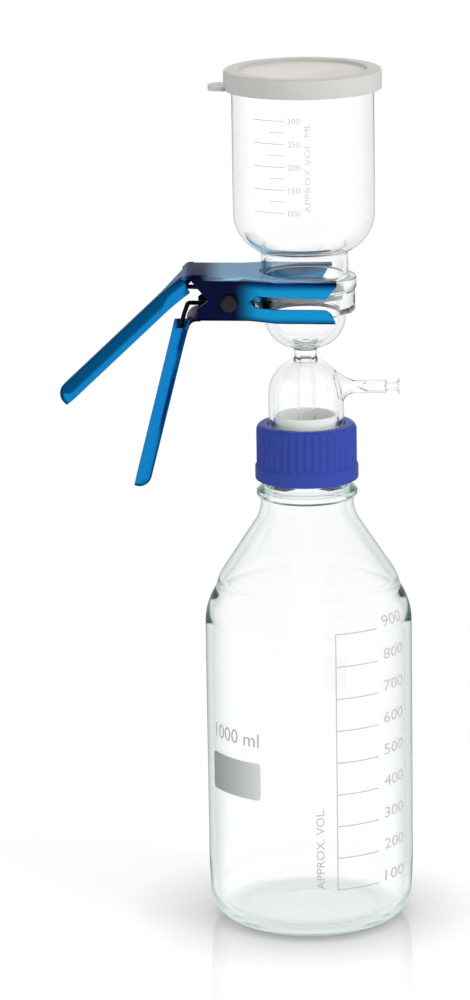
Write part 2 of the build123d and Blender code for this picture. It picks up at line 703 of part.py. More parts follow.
def torsion_spring():
    """Wire coil round the pin, one leg on the inside of each handle."""
    half_l = COIL_TURNS * COIL_PITCH / 2
    frame = Plane(origin=(PIVOT_X, -half_l, PIVOT_Z), x_dir=(0, 0, 1), z_dir=(0, 1, 0))
    coil = frame * Helix(COIL_PITCH, 2 * half_l, COIL_R)
    pivot = Vector(PIVOT_X, 0, PIVOT_Z)
    upper_leg = FilletPolyline(
        pivot + Vector(-30.8, -LEG_Y, -1.4),
        pivot + Vector(-23.4, -LEG_Y, 5.4),
        coil @ 0 - (coil % 0) * 7.5,
        coil @ 0,
        radius=3,
    )
    lower_leg = FilletPolyline(
        coil @ 1,
        coil @ 1 + (coil % 1) * 13.0,
        pivot + Vector(-20.2, LEG_Y, -4.4),
        pivot + Vector(-22.2, LEG_Y, -9.8),
        pivot + Vector(-25.7, LEG_Y, -23.4),
        radius=2,
    )
    wire = Wire(upper_leg.edges() + coil.edges() + lower_leg.edges())
    return sweep(Plane(origin=wire @ 0, z_dir=wire % 0) * Circle(WIRE_R), path=wire)


solids = {
    "bottle": bottle(),
    "screw_cap": screw_cap(),
    "seal_ring": seal_ring(),
    "filter_base": filter_base(),
    "frit_disc": frit_disc(),
    "membrane_filter": membrane_filter(),
    "funnel": funnel(),
    "lid": lid(),
    "clamp_upper_jaw": clamp_upper_jaw(),
    "clamp_lower_jaw": clamp_lower_jaw(),
    "pivot_pin": pivot_pin(),
    "pin_cap_front": pin_cap(-1),
    "pin_cap_rear": pin_cap(1),
    "torsion_spring": torsion_spring(),
}
for name, solid in solids.items():
    export_step(solid, f"parts/{name}.step")
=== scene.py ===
"""Vacuum filtration unit: glass bottle, filter base and graduated funnel held by a sprung clamp."""

import math

import bmesh
import bpy
import numpy as np
from bpy.props import FloatProperty, FloatVectorProperty, IntProperty, PointerProperty
from mathutils import Matrix, Vector


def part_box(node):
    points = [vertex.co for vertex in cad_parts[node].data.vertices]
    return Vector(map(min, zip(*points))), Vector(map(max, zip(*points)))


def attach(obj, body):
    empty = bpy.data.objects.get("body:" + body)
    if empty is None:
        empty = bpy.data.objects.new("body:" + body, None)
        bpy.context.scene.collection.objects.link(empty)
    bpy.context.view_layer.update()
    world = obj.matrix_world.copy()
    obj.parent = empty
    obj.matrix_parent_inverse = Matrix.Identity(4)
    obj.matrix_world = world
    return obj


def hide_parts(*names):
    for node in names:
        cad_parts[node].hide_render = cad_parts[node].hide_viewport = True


bl_info = {
    "name": "Vacuum filtration unit",
    "version": (1, 0, 0),
    "blender": (4, 5, 0),
    "location": "View3D > Sidebar > Filtration",
    "description": "Builds a laboratory vacuum filtration unit round its packed parts",
    "category": "Object",
}

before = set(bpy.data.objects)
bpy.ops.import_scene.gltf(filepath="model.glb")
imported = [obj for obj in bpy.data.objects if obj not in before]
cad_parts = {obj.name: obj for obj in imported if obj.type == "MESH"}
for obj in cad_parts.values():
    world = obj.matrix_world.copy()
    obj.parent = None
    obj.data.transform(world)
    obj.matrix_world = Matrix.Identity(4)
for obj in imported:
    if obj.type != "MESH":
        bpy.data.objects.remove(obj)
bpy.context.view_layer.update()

MM = 0.001


def extent(node):
    """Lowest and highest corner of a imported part, in millimetres."""
    low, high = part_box(node)
    return np.array(low) / MM, np.array(high) / MM


BOTTLE_HIGH = extent("bottle")[1]
CAP_LOW, CAP_HIGH = extent("screw_cap")
SEAL_LOW, SEAL_HIGH = extent("seal_ring")
BASE_LOW, BASE_HIGH = extent("filter_base")
FUNNEL_LOW, FUNNEL_HIGH = extent("funnel")
LID_HIGH = extent("lid")[1]
PIN_LOW, PIN_HIGH = extent("pivot_pin")

# Radii, heights over the floor and the pin's middle, in mm.
BOTTLE_R = BOTTLE_HIGH[1]
MOUTH_Z = BOTTLE_HIGH[2]
THREAD_FOOT_Z = 219.6
FUNNEL_RIM_R = FUNNEL_HIGH[1]
FUNNEL_TOP_Z = FUNNEL_HIGH[2]
FUNNEL_BODY_R = FUNNEL_RIM_R - 2.0
STACK_Z = FUNNEL_LOW[2]
PIVOT = (PIN_LOW + PIN_HIGH) / 2
BULB_Z = 264.6
ARM_Z = 267.9

# Half the thickness of a printed mark, and the gap between its middle and the glass, in mm.
INK_HALF = 0.02
INK_GAP = 0.05


# ---------------------------------------------------------------- settings
def linear(code):
    """Linear RGBA of an sRGB colour written as six hex digits."""
    shares = np.array([int(code[k : k + 2], 16) / 255 for k in (0, 2, 4)])
    shares = np.where(shares <= 0.04045, shares / 12.92, ((shares + 0.055) / 1.055) ** 2.4)
    return (*shares.tolist(), 1.0)


class FiltrationSizes(bpy.types.PropertyGroup):
    """Sizes that a user may change without moving a joint."""

    bottle_wall: FloatProperty(
        name="Bottle wall", description="Thickness of the bottle's glass, in mm",
        default=2.8, min=1.5, max=4,
    )
    funnel_wall: FloatProperty(
        name="Funnel wall", description="Thickness of the funnel's glass, in mm",
        default=2.0, min=1, max=3,
    )
    drip_wall: FloatProperty(
        name="Drip tube wall", description="Thickness of the drip tube's glass, in mm",
        default=0.7, min=0.4, max=1.5,
    )
    rib_count: IntProperty(
        name="Cap ribs", description="Grip ribs round the screw cap", default=40, min=12, max=80
    )
    rib_height: FloatProperty(
        name="Rib height", description="Height of a grip rib, in mm", default=0.6, min=0.1, max=1.0
    )
    print_height: FloatProperty(
        name="Bottle figures", description="Height of the bottle's figures, in mm",
        default=5.4, min=2, max=10,
    )
    turns: IntProperty(
        name="Turned steps", description="Steps round each turned surface",
        default=192, min=48, max=360,
    )


class FiltrationColours(bpy.types.PropertyGroup):
    """Colours of the finishes that a user may change."""

    clamp: FloatVectorProperty(
        name="Clamp", description="Dyed oxide layer on the clamp", subtype="COLOR", size=4,
        default=linear("1899d4"), min=0, max=1,
    )
    # Painted dark reflection: this navy stands for the dark that the ears round the pivot mirror.
    clamp_painted_dark: FloatVectorProperty(
        name="Clamp, deep", description="Thicker dye round the pivot", subtype="COLOR", size=4,
        default=linear("0e1436"), min=0, max=1,
    )
    clamp_handle: FloatVectorProperty(
        name="Clamp, handles", description="Dye on the handles", subtype="COLOR", size=4,
        default=linear("1486ce"), min=0, max=1,
    )
    # Painted pale reflection: this pale blue stands for the light that the top plate mirrors.
    clamp_painted_pale: FloatVectorProperty(
        name="Clamp, pale", description="Thinner dye on the top plate", subtype="COLOR", size=4,
        default=linear("a4d2f0"), min=0, max=1,
    )
    cap: FloatVectorProperty(
        name="Screw cap", description="Polypropylene of the screw cap", subtype="COLOR", size=4,
        default=linear("28409c"), min=0, max=1,
    )
    lid: FloatVectorProperty(
        name="Lid", description="Silicone of the lid", subtype="COLOR", size=4,
        default=linear("c0c3be"), min=0, max=1,
    )
    seal: FloatVectorProperty(
        name="Seal", description="Silicone of the seal ring", subtype="COLOR", size=4,
        default=linear("f4f6f1"), min=0, max=1,
    )
    print_grey: FloatVectorProperty(
        name="Print", description="Fired enamel of the scales", subtype="COLOR", size=4,
        default=linear("b4b7b7"), min=0, max=1,
    )


def sizes():
    """The sizes that the panel shows."""
    return bpy.context.scene.filtration_sizes


def colours():
    """The colours that the panel shows."""
    return bpy.context.scene.filtration_colours


# ---------------------------------------------------------------- surfaces
def rounded(corners, radii, steps=14):
    """Outline whose corners are arcs, each tangent to both of its sides.

    The arc's centre lies on the corner's bisector, radius / sin(half angle) away, and its points
    turn evenly from one tangent point to the other.
    """
    corners = np.asarray(corners, float)
    radii = np.asarray(radii, float)[:, None]
    toward = np.roll(corners, 1, axis=0) - corners
    onward = np.roll(corners, -1, axis=0) - corners
    toward /= np.linalg.norm(toward, axis=1, keepdims=True)
    onward /= np.linalg.norm(onward, axis=1, keepdims=True)
    cosine = np.clip((toward * onward).sum(1, keepdims=True), -0.999999, 0.999999)
    half = np.arccos(cosine) / 2
    middle = (toward + onward) / np.linalg.norm(toward + onward, axis=1, keepdims=True)
    centre = corners + middle * radii / np.sin(half)
    first = corners + toward * radii / np.tan(half) - centre
    last = corners + onward * radii / np.tan(half) - centre
    sweep = math.pi - 2 * half
    share = np.linspace(0, 1, steps)[None, :, None]
    bend = sweep[:, None]
    curve = np.sin((1 - share) * bend) * first[:, None] + np.sin(share * bend) * last[:, None]
    points = (centre[:, None] + curve / np.sin(bend)).reshape(-1, 2)
    fresh = np.linalg.norm(points - np.roll(points, 1, axis=0), axis=1) > 1e-5
    fresh[0] = True
    return points[fresh]


def arc(start, end, radius, steps=28):
    """Arc between two points, its centre left of the way, or right for a negative radius."""
    start, end = np.asarray(start, float), np.asarray(end, float)
    chord = end - start
    length = np.linalg.norm(chord)
    left = np.array([-chord[1], chord[0]]) / length
    rise = math.sqrt(max(radius * radius - length * length / 4, 0))
    centre = (start + end) / 2 + left * math.copysign(rise, radius)
    first = math.atan2(*(start - centre)[::-1])
    last = math.atan2(*(end - centre)[::-1])
    turn = (last - first + math.pi) % (2 * math.pi) - math.pi
    angle = first + turn * np.linspace(0, 1, steps)
    return centre + abs(radius) * np.stack([np.cos(angle), np.sin(angle)], 1)


def refined(outline, spacing):
    """The closed outline with each side cut into equal parts no longer than spacing."""
    onward = np.roll(outline, -1, axis=0)
    count = np.maximum(1, np.ceil(np.linalg.norm(onward - outline, axis=1) / spacing)).astype(int)
    first = np.repeat(outline, count, axis=0)
    side = np.repeat(onward - outline, count, axis=0)
    place_in_side = np.arange(count.sum()) - np.repeat(np.cumsum(count) - count, count)
    return first + side * (place_in_side / np.repeat(count, count))[:, None]


def grid_faces(rows, columns, wrap_rows=False, wrap_columns=False):
    """Quads of a rows by columns grid of points, numbered row by row."""
    i = np.arange(rows if wrap_rows else rows - 1)[:, None]
    j = np.arange(columns if wrap_columns else columns - 1)[None, :]
    across = (j + 1) % columns
    down = (i + 1) % rows
    return np.stack(
        [i * columns + j, i * columns + across, down * columns + across, down * columns + j], -1
    ).reshape(-1, 4)


def turned(profile, closed, turns):
    """Surface of revolution: the point (r, z) at turn a goes to (r cos a, r sin a, z)."""
    angle = np.linspace(0, 2 * math.pi, turns, endpoint=False)[:, None]
    r, z = profile[:, 0][None, :], profile[:, 1][None, :]
    points = np.stack([r * np.cos(angle), r * np.sin(angle), z + 0 * angle], -1)
    return points.reshape(-1, 3), grid_faces(turns, len(profile), True, closed)


def laid_along_x(shape, z):
    """A turned shape laid along +X at a height: (x, y, z) goes to (z, y, height - x)."""
    points, faces = shape
    return np.stack([points[:, 2], points[:, 1], z - points[:, 0]], 1), faces


def eased(corners, spacing=0.35, reach=2.4):
    """Line through the corners, averaged over a short reach so that each corner becomes a bend."""
    corners = np.asarray(corners, float)
    run = np.concatenate([[0], np.cumsum(np.linalg.norm(np.diff(corners, axis=0), axis=1))])
    half = int(reach / spacing / 2)
    along = np.arange(0, run[-1] + spacing / 2, spacing)
    line = np.stack([np.interp(along, run, corners[:, k]) for k in range(3)], 1)
    before = line[0] - (line[1] - line[0]) * np.arange(half, 0, -1)[:, None]
    after = line[-1] + (line[-1] - line[-2]) * np.arange(1, half + 1)[:, None]
    padded = np.cumsum(np.concatenate([np.zeros((1, 3)), before, line, after]), axis=0)
    width = 2 * half + 1
    return (padded[width:] - padded[:-width]) / width


def piped(path, radius, sides=18):
    """Round bar along a path: each ring lies across the path, its first axis nearest to +Y."""
    tangent = np.gradient(path, axis=0)
    tangent /= np.linalg.norm(tangent, axis=1, keepdims=True)
    across = np.array([0.0, 1.0, 0.0]) - tangent * tangent[:, 1:2]
    across /= np.linalg.norm(across, axis=1, keepdims=True)
    other = np.cross(tangent, across)
    angle = np.linspace(0, 2 * math.pi, sides, endpoint=False)[None, :, None]
    outward = np.cos(angle) * across[:, None] + np.sin(angle) * other[:, None]
    rings = path[:, None] + radius * outward
    points = np.concatenate([rings.reshape(-1, 3), path[:1], path[-1:]])
    quads = grid_faces(len(path), sides, False, True)
    k = np.arange(sides)
    onward = (k + 1) % sides
    last = (len(path) - 1) * sides
    start_cap = np.stack([np.full(sides, len(points) - 2), onward, k, k], 1)
    end_cap = np.stack([np.full(sides, len(points) - 1), last + k, last + onward, last + onward], 1)
    return points, np.concatenate([quads, start_cap, end_cap])


def joined(*parts):
    """Several (points, faces) put together as one."""
    points, faces, offset = [], [], 0
    for co, quads in parts:
        points.append(co)
        faces.append(quads + offset)
        offset += len(co)
    return np.concatenate(points), np.concatenate(faces)


def added(name, data):
    """New object that holds the data, in the scene at the origin."""
    made = bpy.data.objects.new(name, data)
    bpy.context.scene.collection.objects.link(made)
    return made


def final_mesh(piece):
    """New mesh of an object with its modifiers applied, or of its text."""
    seen = piece.evaluated_get(bpy.context.evaluated_depsgraph_get())
    return bpy.data.meshes.new_from_object(seen)


def tidy_mesh(mesh, crease, merge=1e-7):
    """Merges doubles, points the faces outwards and keeps edges sharper than crease hard."""
    edit = bmesh.new()
    edit.from_mesh(mesh)
    bmesh.ops.remove_doubles(edit, verts=edit.verts, dist=merge)
    bmesh.ops.dissolve_degenerate(edit, edges=edit.edges, dist=1e-8)
    bmesh.ops.recalc_face_normals(edit, faces=edit.faces)
    edit.to_mesh(mesh)
    edit.free()
    mesh.shade_smooth()
    mesh.set_sharp_from_angle(angle=math.radians(crease))
    mesh.update()


def build(name, shape, crease=32):
    """Object in metres from (points in mm, quads); a quad with a doubled corner is a triangle."""
    points, faces = shape
    mesh = bpy.data.meshes.new(name)
    corners = [tuple(dict.fromkeys(face)) for face in faces.tolist()]
    mesh.from_pydata((points * MM).tolist(), [], corners)
    tidy_mesh(mesh, crease)
    return added(name, mesh)


def carried_over(node, name, crease=28):
    """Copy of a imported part's mesh, merged and smoothed, to stand for it."""
    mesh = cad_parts[node].data.copy()
    mesh.name = name
    mesh.materials.clear()
    tidy_mesh(mesh, crease, 2e-6)
    return added(name, mesh)


def fused(piece, other, operation, crease=32):
    """Joins another closed piece to this one or cuts it away, and takes the other one out."""
    change = piece.modifiers.new(operation.lower(), "BOOLEAN")
    change.operation = operation
    change.solver = "EXACT"
    change.object = other
    mesh = final_mesh(piece)
    mesh.name = piece.name
    piece.modifiers.clear()
    piece.data = mesh
    bpy.data.objects.remove(other)
    tidy_mesh(mesh, crease)
    return piece


def place(piece, body, finish, material, *nodes):
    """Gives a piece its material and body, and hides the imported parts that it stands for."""
    piece.data.materials.clear()
    piece.data.materials.append(material)
    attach(piece, body)
    if nodes:
        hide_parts(*nodes)
    return piece


# ---------------------------------------------------------------- lettering
def flat_text(text, height, width):
    """Line of text from its lower left, stretched to a height and a width in mm."""
    curve = bpy.data.curves.new("lettering", "FONT")
    curve.body = text
    curve.extrude = 0.003
    curve.resolution_u = 3
    holder = added("lettering", curve)
    mesh = final_mesh(holder)
    points = np.empty(len(mesh.vertices) * 3)
    mesh.vertices.foreach_get("co", points)
    mesh.calc_loop_triangles()
    corners = np.empty(len(mesh.loop_triangles) * 3, np.int64)
    mesh.loop_triangles.foreach_get("vertices", corners)
    bpy.data.objects.remove(holder)
    bpy.data.curves.remove(curve)
    bpy.data.meshes.remove(mesh)
    points = points.reshape(-1, 3)
    size = np.ptp(points, axis=0)
    fitted = (points - points.min(0)) * (width / size[0], height / size[1], 2 * INK_HALF / size[2])
    triangles = corners.reshape(-1, 3)
    return fitted - (0, 0, INK_HALF), np.concatenate([triangles, triangles[:, 2:]], 1)


def flat_band(low, high, x):
    """Thin patch over the columns x, from the heights low to the heights high."""
    columns = len(x)
    thin = np.full(columns, INK_HALF)
    ring = np.stack(
        [
            np.stack([x, low, -thin], 1),
            np.stack([x, low, thin], 1),
            np.stack([x, high, thin], 1),
            np.stack([x, high, -thin], 1),
        ],
        1,
    )
    ends = np.array([[0, 1, 2, 3], [3, 2, 1, 0]])
    ends[1] += (columns - 1) * 4
    faces = np.concatenate([grid_faces(columns, 4, False, True), ends])
    return ring.reshape(-1, 3), faces


def flat_bar(x0, y0, x1, y1, step=1.5):
    """Thin rectangular bar from (x0, y0) to (x1, y1), cut finely enough to bend round glass."""
    x = np.linspace(x0, x1, max(2, int(abs(x1 - x0) / step) + 2))
    return flat_band(np.full_like(x, y0), np.full_like(x, y1), x)


def moved(shape, x, y, quarter=False):
    """A flat shape shifted to (x, y), and first turned a quarter to read upwards if asked."""
    points, faces = shape
    points = points.copy()
    if quarter:
        points = np.stack([-points[:, 1], points[:, 0], points[:, 2]], 1)
    points[:, 0] += x
    points[:, 1] += y
    return points, faces


def wrapped(shape, radius_at, reference):
    """Flat marks laid on a turned surface: x is arc length at the reference radius, y is height."""
    points, faces = shape
    angle = points[:, 0] / reference
    r = radius_at(points[:, 1]) + INK_GAP + points[:, 2]
    return np.stack([r * np.sin(angle), -r * np.cos(angle), points[:, 1]], 1), faces


# ---------------------------------------------------------------- materials
SMOOTH = {"interpolation_type": "SMOOTHSTEP"}
COLOURED = {"data_type": "RGBA"}


def node(tree, kind, settings=None, **links):
    """Adds a node with its settings and links; a link is a value or (node, output)."""
    made = tree.nodes.new(kind)
    for key, value in (settings or {}).items():
        setattr(made, key, value)
    for key, value in links.items():
        socket = made.inputs[int(key[1:])] if key[0] == "_" else made.inputs[key.replace("_", " ")]
        if isinstance(value, tuple) and len(value) == 2 and isinstance(value[0], bpy.types.Node):
            tree.links.new(value[0].outputs[value[1]], socket)
        else:
            socket.default_value = value
    return made


def new_material(name):
    """Empty node material and its tree."""
    material = bpy.data.materials.new(name)
    material.use_nodes = True
    material.node_tree.nodes.clear()
    return material, material.node_tree


def finish_with(tree, shader, volume=None):
    """Joins a shader, and a volume if given, to the material's output."""
    output = node(tree, "ShaderNodeOutputMaterial", Surface=(shader, 0))
    if volume is not None:
        tree.links.new(volume.outputs[0], output.inputs["Volume"])


def glass(name, tint, density, shade, edge, start):
    """Borosilicate glass, IOR 1.473: drawn and fire-polished, so it is clear with faint waves.

    It lets lamps through, so that it throws a pale shadow, and it takes a slight tint where its
    glass is thicker. Where it is seen edge on, its colour is painted darker as painted shade.
    """
    material, tree = new_material(name)
    place_on = node(tree, "ShaderNodeTexCoord")
    waves = node(
        tree, "ShaderNodeTexNoise", Vector=(place_on, "Object"),
        Scale=28.0, Detail=1.0, Roughness=0.4,
    )
    ripple = node(tree, "ShaderNodeBump", Strength=0.02, Distance=0.0004, Height=(waves, "Fac"))
    facing = node(tree, "ShaderNodeLayerWeight", Blend=0.5)
    grazing = node(
        tree, "ShaderNodeMapRange", SMOOTH, Value=(facing, "Facing"), From_Min=start, From_Max=1.0
    )
    # Painted shade: the colour goes from white to the edge colour where the glass is seen edge on.
    clear = node(
        tree, "ShaderNodeMix", COLOURED, Factor=(grazing, 0), _6=(1, 1, 1, 1), _7=linear(edge)
    )
    body = node(
        tree, "ShaderNodeBsdfPrincipled", Base_Color=(clear, 2), Roughness=0.0, IOR=1.473,
        Transmission_Weight=1.0, Normal=(ripple, 0),
    )
    through = node(tree, "ShaderNodeBsdfTransparent", Color=linear(shade))
    path = node(tree, "ShaderNodeLightPath")
    question = (path, "Is Shadow Ray")
    mixed = node(tree, "ShaderNodeMixShader", _0=question, _1=(body, 0), _2=(through, 0))
    tinted = node(tree, "ShaderNodeVolumeAbsorption", Color=linear(tint), Density=density)
    finish_with(tree, mixed, tinted)
    return material


def anodised(name):
    """Aluminium sheet, satin and dyed blue in its oxide layer, so that it mirrors in blue.

    The blue is painted navy on the ears and folds and pale on the plate between the ears, as
    painted reflections. Which part is which follows from its place along X and its height over the
    pin.
    """
    material, tree = new_material(name)
    place_on = node(tree, "ShaderNodeTexCoord")
    grain = node(tree, "ShaderNodeTexNoise", Vector=(place_on, "Object"), Scale=1800.0, Detail=2.0)
    pits = node(tree, "ShaderNodeBump", Strength=0.05, Distance=0.0001, Height=(grain, "Fac"))
    parts = node(tree, "ShaderNodeSeparateXYZ", Vector=(place_on, "Object"))
    level = PIVOT[2] * MM
    height = node(tree, "ShaderNodeMath", {"operation": "SUBTRACT"}, _0=(parts, "Z"), _1=level)
    off = node(tree, "ShaderNodeMath", {"operation": "ABSOLUTE"}, _0=(height, 0))
    fork, handle, middle, fold, plate = [
        node(
            tree, "ShaderNodeMapRange", SMOOTH, Value=measure,
            From_Min=(zero + start) * MM, From_Max=(zero + end) * MM,
        )
        for measure, zero, start, end in (
            ((parts, "X"), PIVOT[0], 2, 16),
            ((parts, "X"), PIVOT[0], -23, -18),
            ((parts, "X"), PIVOT[0], -14, -2),
            ((off, 0), 0, 6, 10),
            ((height, 0), 0, 10.4, 11.4),
        )
    ]
    upper = node(tree, "ShaderNodeMath", {"operation": "MULTIPLY"}, _0=(plate, 0), _1=(handle, 0))
    shown = colours()
    # Painted dark reflection: the folds and edges well above and below the pin are painted navy.
    flange = node(
        tree, "ShaderNodeMix", COLOURED, Factor=(fold, 0), _6=shown.clamp, _7=linear("083474")
    )
    # Painted dark reflection: the ears round the pivot are painted deep navy.
    ears = node(
        tree, "ShaderNodeMix", COLOURED, Factor=(fork, 0), _6=shown.clamp_painted_dark, _7=(flange, 2)
    )
    sides = node(
        tree, "ShaderNodeMix", COLOURED, Factor=(handle, 0), _6=shown.clamp_handle, _7=(ears, 2)
    )
    # The top plate runs from painted dark at the ears to a painted pale reflection in its middle.
    top = node(
        tree, "ShaderNodeMix", COLOURED, Factor=(middle, 0),
        _6=shown.clamp_painted_dark, _7=shown.clamp_painted_pale,
    )
    # The dye, mixed with the painted dark and pale reflections above.
    dye_and_painted_light = node(tree, "ShaderNodeMix", COLOURED, Factor=(upper, 0), _6=(sides, 2), _7=(top, 2))
    body = node(
        tree, "ShaderNodeBsdfPrincipled", Base_Color=(dye_and_painted_light, 2), Metallic=1.0, Roughness=0.22,
        Specular_Tint=linear("a5a6b1"), Normal=(pits, 0),
    )
    finish_with(tree, body)
    return material


def plastic(name, colour, roughness, grit_mm, depth_mm, soft=0.0):
    """Moulded plastic or rubber: an even colour, a fine moulded grit and a little light inside.

    The grit is drawn coarser than a mould leaves it, so that it shows.
    """
    material, tree = new_material(name)
    place_on = node(tree, "ShaderNodeTexCoord")
    scale = 1 / (grit_mm * MM)
    grit = node(tree, "ShaderNodeTexNoise", Vector=(place_on, "Object"), Scale=scale, Detail=3.0)
    bump = node(
        tree, "ShaderNodeBump", Strength=0.3, Distance=depth_mm * MM, Height=(grit, "Fac")
    )
    mottled = node(tree, "ShaderNodeTexNoise", Vector=(place_on, "Object"), Scale=60.0, Detail=2.0)
    shade = node(tree, "ShaderNodeMapRange", Value=(mottled, "Fac"), To_Min=0.97, To_Max=1.03)
    tone = node(tree, "ShaderNodeHueSaturation", Value=(shade, 0), Color=colour)
    body = node(
        tree, "ShaderNodeBsdfPrincipled", Base_Color=(tone, 0), Roughness=roughness, IOR=1.49,
        Subsurface_Weight=soft, Subsurface_Radius=(0.004, 0.004, 0.004),
        Specular_IOR_Level=0.3, Normal=(bump, 0),
    )
    finish_with(tree, body)
    return material


def lid_silicone(name):
    """Translucent silicone, moulded: satin, with its crown painted darker as shade and the thin web
    inside its rim painted paler and warmer, as light shining through.
    """
    material, tree = new_material(name)
    place_on = node(tree, "ShaderNodeTexCoord")
    parts = node(tree, "ShaderNodeSeparateXYZ", Vector=(place_on, "Object"))
    flat = node(tree, "ShaderNodeCombineXYZ", X=(parts, "X"), Y=(parts, "Y"))
    reach = node(tree, "ShaderNodeVectorMath", {"operation": "LENGTH"}, _0=(flat, 0))
    web = node(
        tree, "ShaderNodeMapRange", SMOOTH, Value=(reach, "Value"),
        From_Min=30.2 * MM, From_Max=31.2 * MM, To_Min=1.0, To_Max=0.0,
    )
    # Painted shade: the top of the crown is painted darker.
    crown = node(
        tree, "ShaderNodeMapRange", SMOOTH, Value=(parts, "Z"),
        From_Min=(LID_HIGH[2] - 0.7) * MM, From_Max=(LID_HIGH[2] - 0.1) * MM,
    )
    shaded = node(
        tree, "ShaderNodeMix", COLOURED, Factor=(crown, 0), _6=colours().lid, _7=linear("b2b3ac")
    )
    # Painted light: the thin web inside the rim is painted paler and warmer, as light shining
    # through it.
    tone = node(
        tree, "ShaderNodeMix", COLOURED, Factor=(web, 0), _6=(shaded, 2), _7=linear("d0c9c3")
    )
    grit = node(tree, "ShaderNodeTexNoise", Vector=(place_on, "Object"), Scale=1600.0, Detail=3.0)
    bump = node(tree, "ShaderNodeBump", Strength=0.2, Distance=0.00001, Height=(grit, "Fac"))
    body = node(
        tree, "ShaderNodeBsdfPrincipled", Base_Color=(tone, 2), Roughness=0.32, IOR=1.43,
        Subsurface_Weight=0.4, Subsurface_Radius=(0.004, 0.004, 0.004), Normal=(bump, 0),
    )
    finish_with(tree, body)
    return material


def frosted(name, colour, scale):
    """Sintered glass or a cellulose membrane: pale grains or pores that scatter light.

    A grain is drawn coarser than the real one, so that it shows.
    """
    material, tree = new_material(name)
    place_on = node(tree, "ShaderNodeTexCoord")
    grains = node(tree, "ShaderNodeTexVoronoi", Vector=(place_on, "Object"), Scale=scale)
    ramp = node(tree, "ShaderNodeMapRange", Value=(grains, "Distance"), To_Min=0.9, To_Max=1.06)
    tone = node(tree, "ShaderNodeHueSaturation", Value=(ramp, 0), Color=colour)
    bump = node(tree, "ShaderNodeBump", Strength=0.25, Distance=0.0001, Height=(grains, "Distance"))
    body = node(
        tree, "ShaderNodeBsdfPrincipled", Base_Color=(tone, 0), Roughness=0.7, IOR=1.47,
        Normal=(bump, 0),
    )
    finish_with(tree, body)
    return material


def enamel(name, shaded, thin, shaded_x, lit_x):
    """Fired ceramic print: matt and slightly granular, painted paler along X as light from one
    side.
    """
    material, tree = new_material(name)
    place_on = node(tree, "ShaderNodeTexCoord")
    parts = node(tree, "ShaderNodeSeparateXYZ", Vector=(place_on, "Object"))
    # Painted light: the colour runs from the darker colour at one X to the thin, paler one at the
    # other.
    across = node(
        tree, "ShaderNodeMapRange", Value=(parts, "X"), From_Min=shaded_x * MM, From_Max=lit_x * MM
    )
    painted_light_tone = node(tree, "ShaderNodeMix", COLOURED, Factor=(across, 0), _6=shaded, _7=thin)
    speck = node(tree, "ShaderNodeTexNoise", Vector=(place_on, "Object"), Scale=2500.0, Detail=2.0)
    shade = node(tree, "ShaderNodeMapRange", Value=(speck, "Fac"), To_Min=0.95, To_Max=1.05)
    tone = node(tree, "ShaderNodeHueSaturation", Value=(shade, 0), Color=(painted_light_tone, 2))
    body = node(tree, "ShaderNodeBsdfPrincipled", Base_Color=(tone, 0), Roughness=0.6)
    finish_with(tree, body)
    return material


def drawn_steel(name, colour, roughness):
    """Drawn steel wire or rod, bare or black oxide: a soft metal gloss and fine draw marks."""
    material, tree = new_material(name)
    place_on = node(tree, "ShaderNodeTexCoord")
    marks = node(tree, "ShaderNodeTexNoise", Vector=(place_on, "Object"), Scale=900.0, Detail=3.0)
    rough = node(
        tree, "ShaderNodeMapRange", Value=(marks, "Fac"),
        To_Min=roughness - 0.06, To_Max=roughness + 0.08,
    )
    body = node(
        tree, "ShaderNodeBsdfPrincipled", Base_Color=colour, Metallic=0.6, Roughness=(rough, 0)
    )
    finish_with(tree, body)
    return material


# ---------------------------------------------------------------- pieces
def bottle_outer():
    """Outside of the bottle from the middle of its foot to its mouth, as (r, z)."""
    r = BOTTLE_R
    return rounded(
        [
            (0, 2.6), (14.0, 2.6), (33.0, 0), (r - 1.3, 0), (r, 30.0), (r, 158.65), (46.3, 166.4),
            (45.4, 168.0), (43.6, 174.0), (22.7, 206.0), (22.7, 213.8), (24.6, 215.2),
            (24.6, 217.4), (20.3, 219.4), (20.3, MOUTH_Z), (0, MOUTH_Z),
        ],
        [0, 60, 3, 14, 40, 30, 2.5, 2.5, 8, 19, 0.6, 0.9, 0.9, 1, 1, 0],
    )[:-1]


def bottle_radius(z):
    """Radius of the bottle's wall at a height, between the points of its outline."""
    wall_r, heel_z = 46, 14
    outer = bottle_outer()
    wall = outer[(outer[:, 0] > wall_r) & (outer[:, 1] > heel_z)]
    return np.interp(z, wall[:, 1], wall[:, 0])


